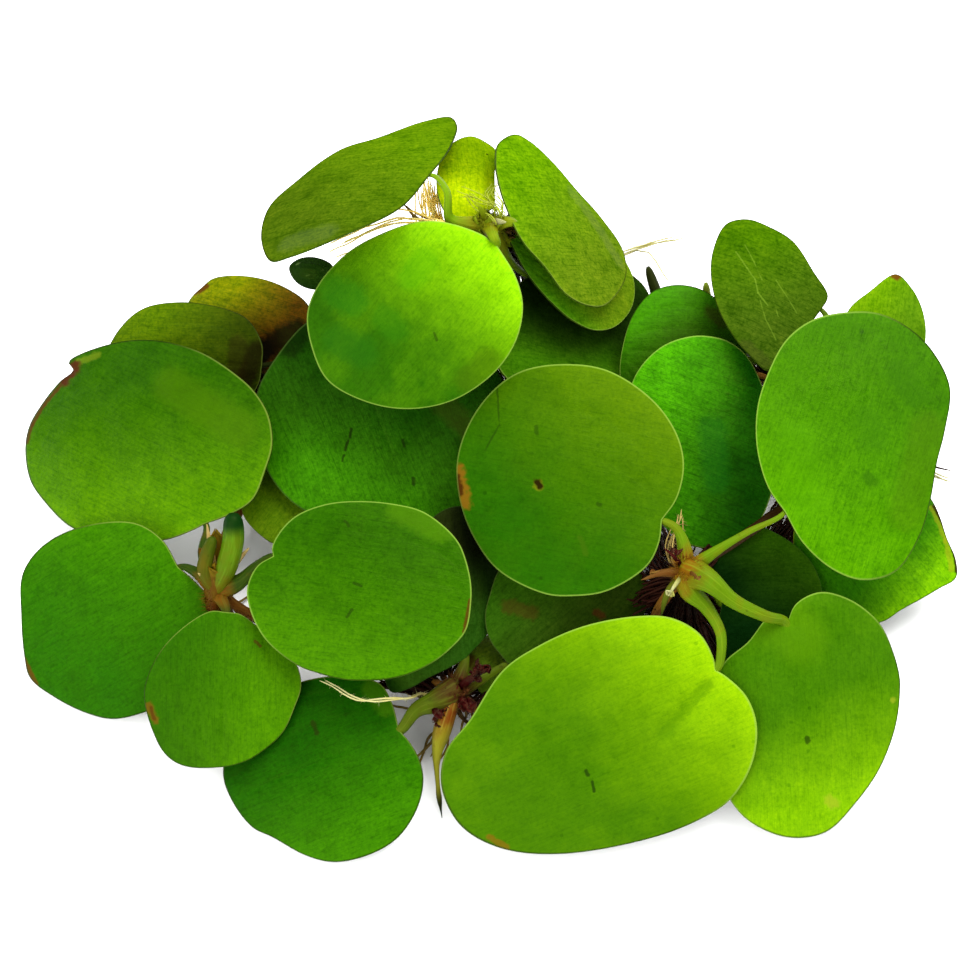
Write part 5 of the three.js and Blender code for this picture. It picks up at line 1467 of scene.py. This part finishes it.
def add_root(shape, points, foot, tip, rng, hairs, slot=0, steps=16, rough=0.35):
    """One wavy root from the radius of its foot to that of its tip, kept over the floor, with side hairs"""
    line = spaced(smooth(points), steps)
    share = np.linspace(0, 1, steps)
    seed = rng.uniform(0, 60)
    bends = np.array([wander(point, ROOT_BEND_SIZE, seed) for point in line])
    line = line + bends * rough * np.minimum(share * 4, 1)[:, None]
    radii = lerp(foot, tip, share) * np.where(share > 0.97, 0.5, 1)
    line[:, 2] = np.maximum(line[:, 2], radii + LOWEST_ROOT)
    add_tube(shape, line, radii, ROOT_SIDES, slot)
    length = np.linalg.norm(np.diff(line, axis=0), axis=1).sum()
    count = int(length / ROOT_HAIR_STEP * hairs)
    if count < 2:
        return
    places = spaced(line, count + 2)[1:-1]
    angle = np.array([rng.uniform(0, 2 * math.pi) for _ in places])
    lean = np.array([rng.uniform(-0.5, 0.5) for _ in places])
    reach = np.array([rng.uniform(0.35, 1.25) for _ in places])
    out = np.stack([np.cos(angle), np.sin(angle), lean], axis=1)
    tips = places + out * reach[:, None]
    tips[:, 2] = np.maximum(tips[:, 2], LOWEST_HAIR_TIP)
    places[:, 2] = np.maximum(places[:, 2], LOWEST_HAIR_FOOT)
    add_hairs(shape, places, tips, ROOT_HAIR_RADIUS, slot)


def add_strand(shape, middle, tuft, angle, reach, waist, rng):
    """A root of a tuft: down from the crown, then out over the floor"""
    foot, top = middle * (1, 1, 0), middle[2]
    out = np.array((math.cos(angle), math.sin(angle), 0))
    side = np.array((-math.sin(angle), math.cos(angle), 0))
    sway = [rng.uniform(-1, 1) for _ in range(3)]
    points = [
        foot + out * rng.uniform(0.1, 0.9) + side * 0.5 * sway[0] + (0, 0, top - ROOT_DROP),
        foot + out * waist + side * 0.6 * sway[1] + (0, 0, top * ROOT_WAIST_HEIGHT),
        foot + out * reach * ROOT_KNEE_REACH + side * sway[2] + (0, 0, top * rng.uniform(0.06, 0.2) + 0.3),
        foot + out * reach + side * 0.8 * sway[0] + (0, 0, rng.uniform(0.15, 0.5)),
    ]
    add_root(shape, points, rng.uniform(*ROOT_FOOT_RADII), ROOT_TIP_RADIUS, rng, tuft["hairs"])


def add_tuft(shape, middle, tuft, rng):
    """Bundles of roots that spread over the floor, and roots between the bundles"""
    for bundle, reach in enumerate(tuft["reaches"]):
        heading = (bundle / len(tuft["reaches"]) + tuft["turn"]) * 2 * math.pi
        for strand in range(tuft["strands"]):
            angle = heading + rng.gauss(0, BUNDLE_SPREAD if strand else 0)
            length = reach * (rng.uniform(0.5, 1.0) if strand else 1)
            waist = rng.uniform(0.6, 1.0) * TUFT_WAIST_RADIUS
            add_strand(shape, middle, tuft, angle, length, waist, rng)
    for _ in range(tuft["free"]):
        angle = rng.uniform(0, 2 * math.pi)
        length = rng.uniform(0.1, 1.0) * max(tuft["reaches"])
        waist = rng.uniform(0.1, 0.9) * TUFT_WAIST_RADIUS
        add_strand(shape, middle, tuft, angle, length, waist, rng)


def add_loose_roots(shape, middle, loose, slot, rng):
    """Fine roots that follow one way between the leaves, from a drop below the middle of their crown"""
    way = [middle - (0, 0, LOOSE_ROOT_DROP), *seen_way(loose["way"])]
    spread, radius, hairs = LOOSE_KINDS[loose["look"]]
    for strand in range(loose["strands"]):
        shift = np.array([rng.gauss(0, spread) for _ in range(3)]) * bool(strand)
        bends = [np.array([rng.gauss(0, spread) for _ in range(3)]) for _ in way]
        points = [
            point + (shift * 0.6 + bend * 0.5) * min(step, 1)
            for step, (point, bend) in enumerate(zip(way, bends))
        ]
        points[-1] = lerp(points[-2], points[-1], rng.uniform(0.7, 1.02) if strand else 1.0)
        foot, tip = rng.uniform(0.85, 1.2) * radius, LOOSE_ROOT_TIP_SHARE * radius
        add_root(shape, points, foot, tip, rng, hairs, slot, steps=26, rough=0.25)


def root_piece(name, number):
    rng = random.Random(number + ROOT_SEED)
    middle = crown_place(name)
    tuft = TUFTS[name]
    looks = [tuft["look"], *sorted({loose["look"] for loose in LOOSE_ROOTS[name]} - {tuft["look"]})]
    shape = Shape()
    add_tuft(shape, middle, tuft, rng)
    for loose in LOOSE_ROOTS[name]:
        add_loose_roots(shape, middle, loose, looks.index(loose["look"]), rng)
    return shape.build(f"roots_{name}_shown", [FINISHES["roots_" + look] for look in looks])


# Runners and sprouts

def runner_piece(runner):
    first, last = (crown_place(end) for end in runner["ends"])
    line = spaced(smooth([first, *seen_way(runner["way"]), last]), 40)
    share = np.linspace(0, 1, len(line))
    joints = sum(np.exp(-(((share - joint) / 0.02) ** 2)) for joint in RUNNER_JOINTS)
    shape = Shape()
    add_tube(shape, line, RUNNER_RADIUS * (0.94 + 0.16 * joints), sides=12, ribs=6, rib_depth=0.03)
    return shape.build(runner["name"] + "_shown", [FINISHES[runner.get("look", "runner_brown")]])


def sprout_piece(sprout):
    line = spaced(smooth(seen_way(sprout["way"])), 26)
    phase = np.linspace(SPROUT_FOOT_PHASE, sprout.get("tip", SPROUT_TIP_PHASE), len(line))
    radii = sprout["radius"] * np.sin(math.pi * phase)
    radii[-4:] *= SPROUT_TIP_SHARES
    if "pinch" in sprout:
        share = np.linspace(0, 1, len(line))
        swollen_tip = 0.55 * np.exp(-(((share - 0.86) / 0.07) ** 2))
        radii *= 1 - sprout["pinch"] * (ease((share - 0.3) / 0.35) - swollen_tip)
    shape = Shape()
    add_tube(shape, line, radii, sides=18, roll=0.16, ribs=7, rib_depth=0.03)
    return shape.build(sprout["name"] + "_shown", [FINISHES[sprout["look"]]])


# Finishes that pieces share, by name
FINISHES = {
    "underside": under_material(),
    **{name: stem_material(name, *row) for name, row in STEMS.items()},
    **{name: stem_material(name, *row, roughness=0.5) for name, row in DULL_STEMS.items()},
    **{name: root_material(name, *row) for name, row in ROOTS.items()},
    **{name: paper_material(name, *row) for name, row in PAPERS.items()},
}


def stands_for(piece, node):
    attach(piece, "root")
    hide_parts(node)


for number, leaf in enumerate(LEAVES):
    stands_for(leaf_piece(leaf, number), leaf["name"])
for number, name in enumerate(CROWNS):
    stands_for(crown_piece(name, number), f"crown_{name}")
    stands_for(root_piece(name, number), f"roots_{name}")
for runner in RUNNERS:
    stands_for(runner_piece(runner), runner["name"])
for sprout in SPROUTS:
    stands_for(sprout_piece(sprout), sprout["name"])


# Floor, light and camera

FLOOR_HALF = 2.5
FLOOR_GAP = 0.0002
WORLD_LIGHT = 1.5
LIGHT_AIM = (0, 0, 0.02)
FLOOR_COLOURS = ((0.93, 0.93, 0.93, 1), (0.96, 0.96, 0.955, 1))


def floor():
    mesh = bpy.data.meshes.new("floor")
    corners = [(-1, -1), (1, -1), (1, 1), (-1, 1)]
    mesh.from_pydata([(x * FLOOR_HALF, y * FLOOR_HALF, 0) for x, y in corners], [], [(0, 1, 2, 3)])
    nodes = Nodes("floor_pale")
    soft = nodes.spread(nodes.grain(nodes.here(), 4, 2), 0.3, 0.7)
    mesh.materials.append(nodes.surface(nodes.mix(soft, *FLOOR_COLOURS), 0.9, 0.1))
    piece = bpy.data.objects.new("floor", mesh)
    piece.location = (0, 0, -FLOOR_GAP)
    bpy.context.scene.collection.objects.link(piece)


def area_light(name, place, width, power):
    data = bpy.data.lights.new(name, "AREA")
    data.shape = "SQUARE"
    data.size = width
    data.energy = power
    lamp = bpy.data.objects.new(name, data)
    lamp.location = place
    lamp.rotation_euler = (Vector(LIGHT_AIM) - Vector(place)).to_track_quat("-Z", "Y").to_euler()
    bpy.context.scene.collection.objects.link(lamp)


floor()
area_light("key", (0.2, 0.3, 0.8), 0.7, 14.0)
area_light("fill", (-0.5, -0.6, 0.6), 0.8, 8.0)
world = bpy.data.worlds.new("studio")
world.use_nodes = True
background = world.node_tree.nodes["Background"]
background.inputs["Color"].default_value = (1, 1, 1, 1)
background.inputs["Strength"].default_value = WORLD_LIGHT
world.cycles_visibility.glossy = False
bpy.context.scene.world = world
bpy.context.scene.view_settings.view_transform = "Standard"

camera_data = bpy.data.cameras.new("camera")
camera_data.sensor_fit = "HORIZONTAL"
camera_data.sensor_width = SENSOR_WIDTH
camera_data.lens = SENSOR_WIDTH * VIEW_DISTANCE / (PICTURE_WIDTH * MM_PER_PIXEL)
camera_data.clip_start = 0.01
camera = bpy.data.objects.new("camera", camera_data)
camera.location = VIEW_EYE * MM
camera.rotation_euler = (math.pi / 2 - VIEW_ELEVATION, 0, 0)
bpy.context.scene.collection.objects.link(camera)
bpy.context.scene.camera = camera

bpy.context.view_layer.update()
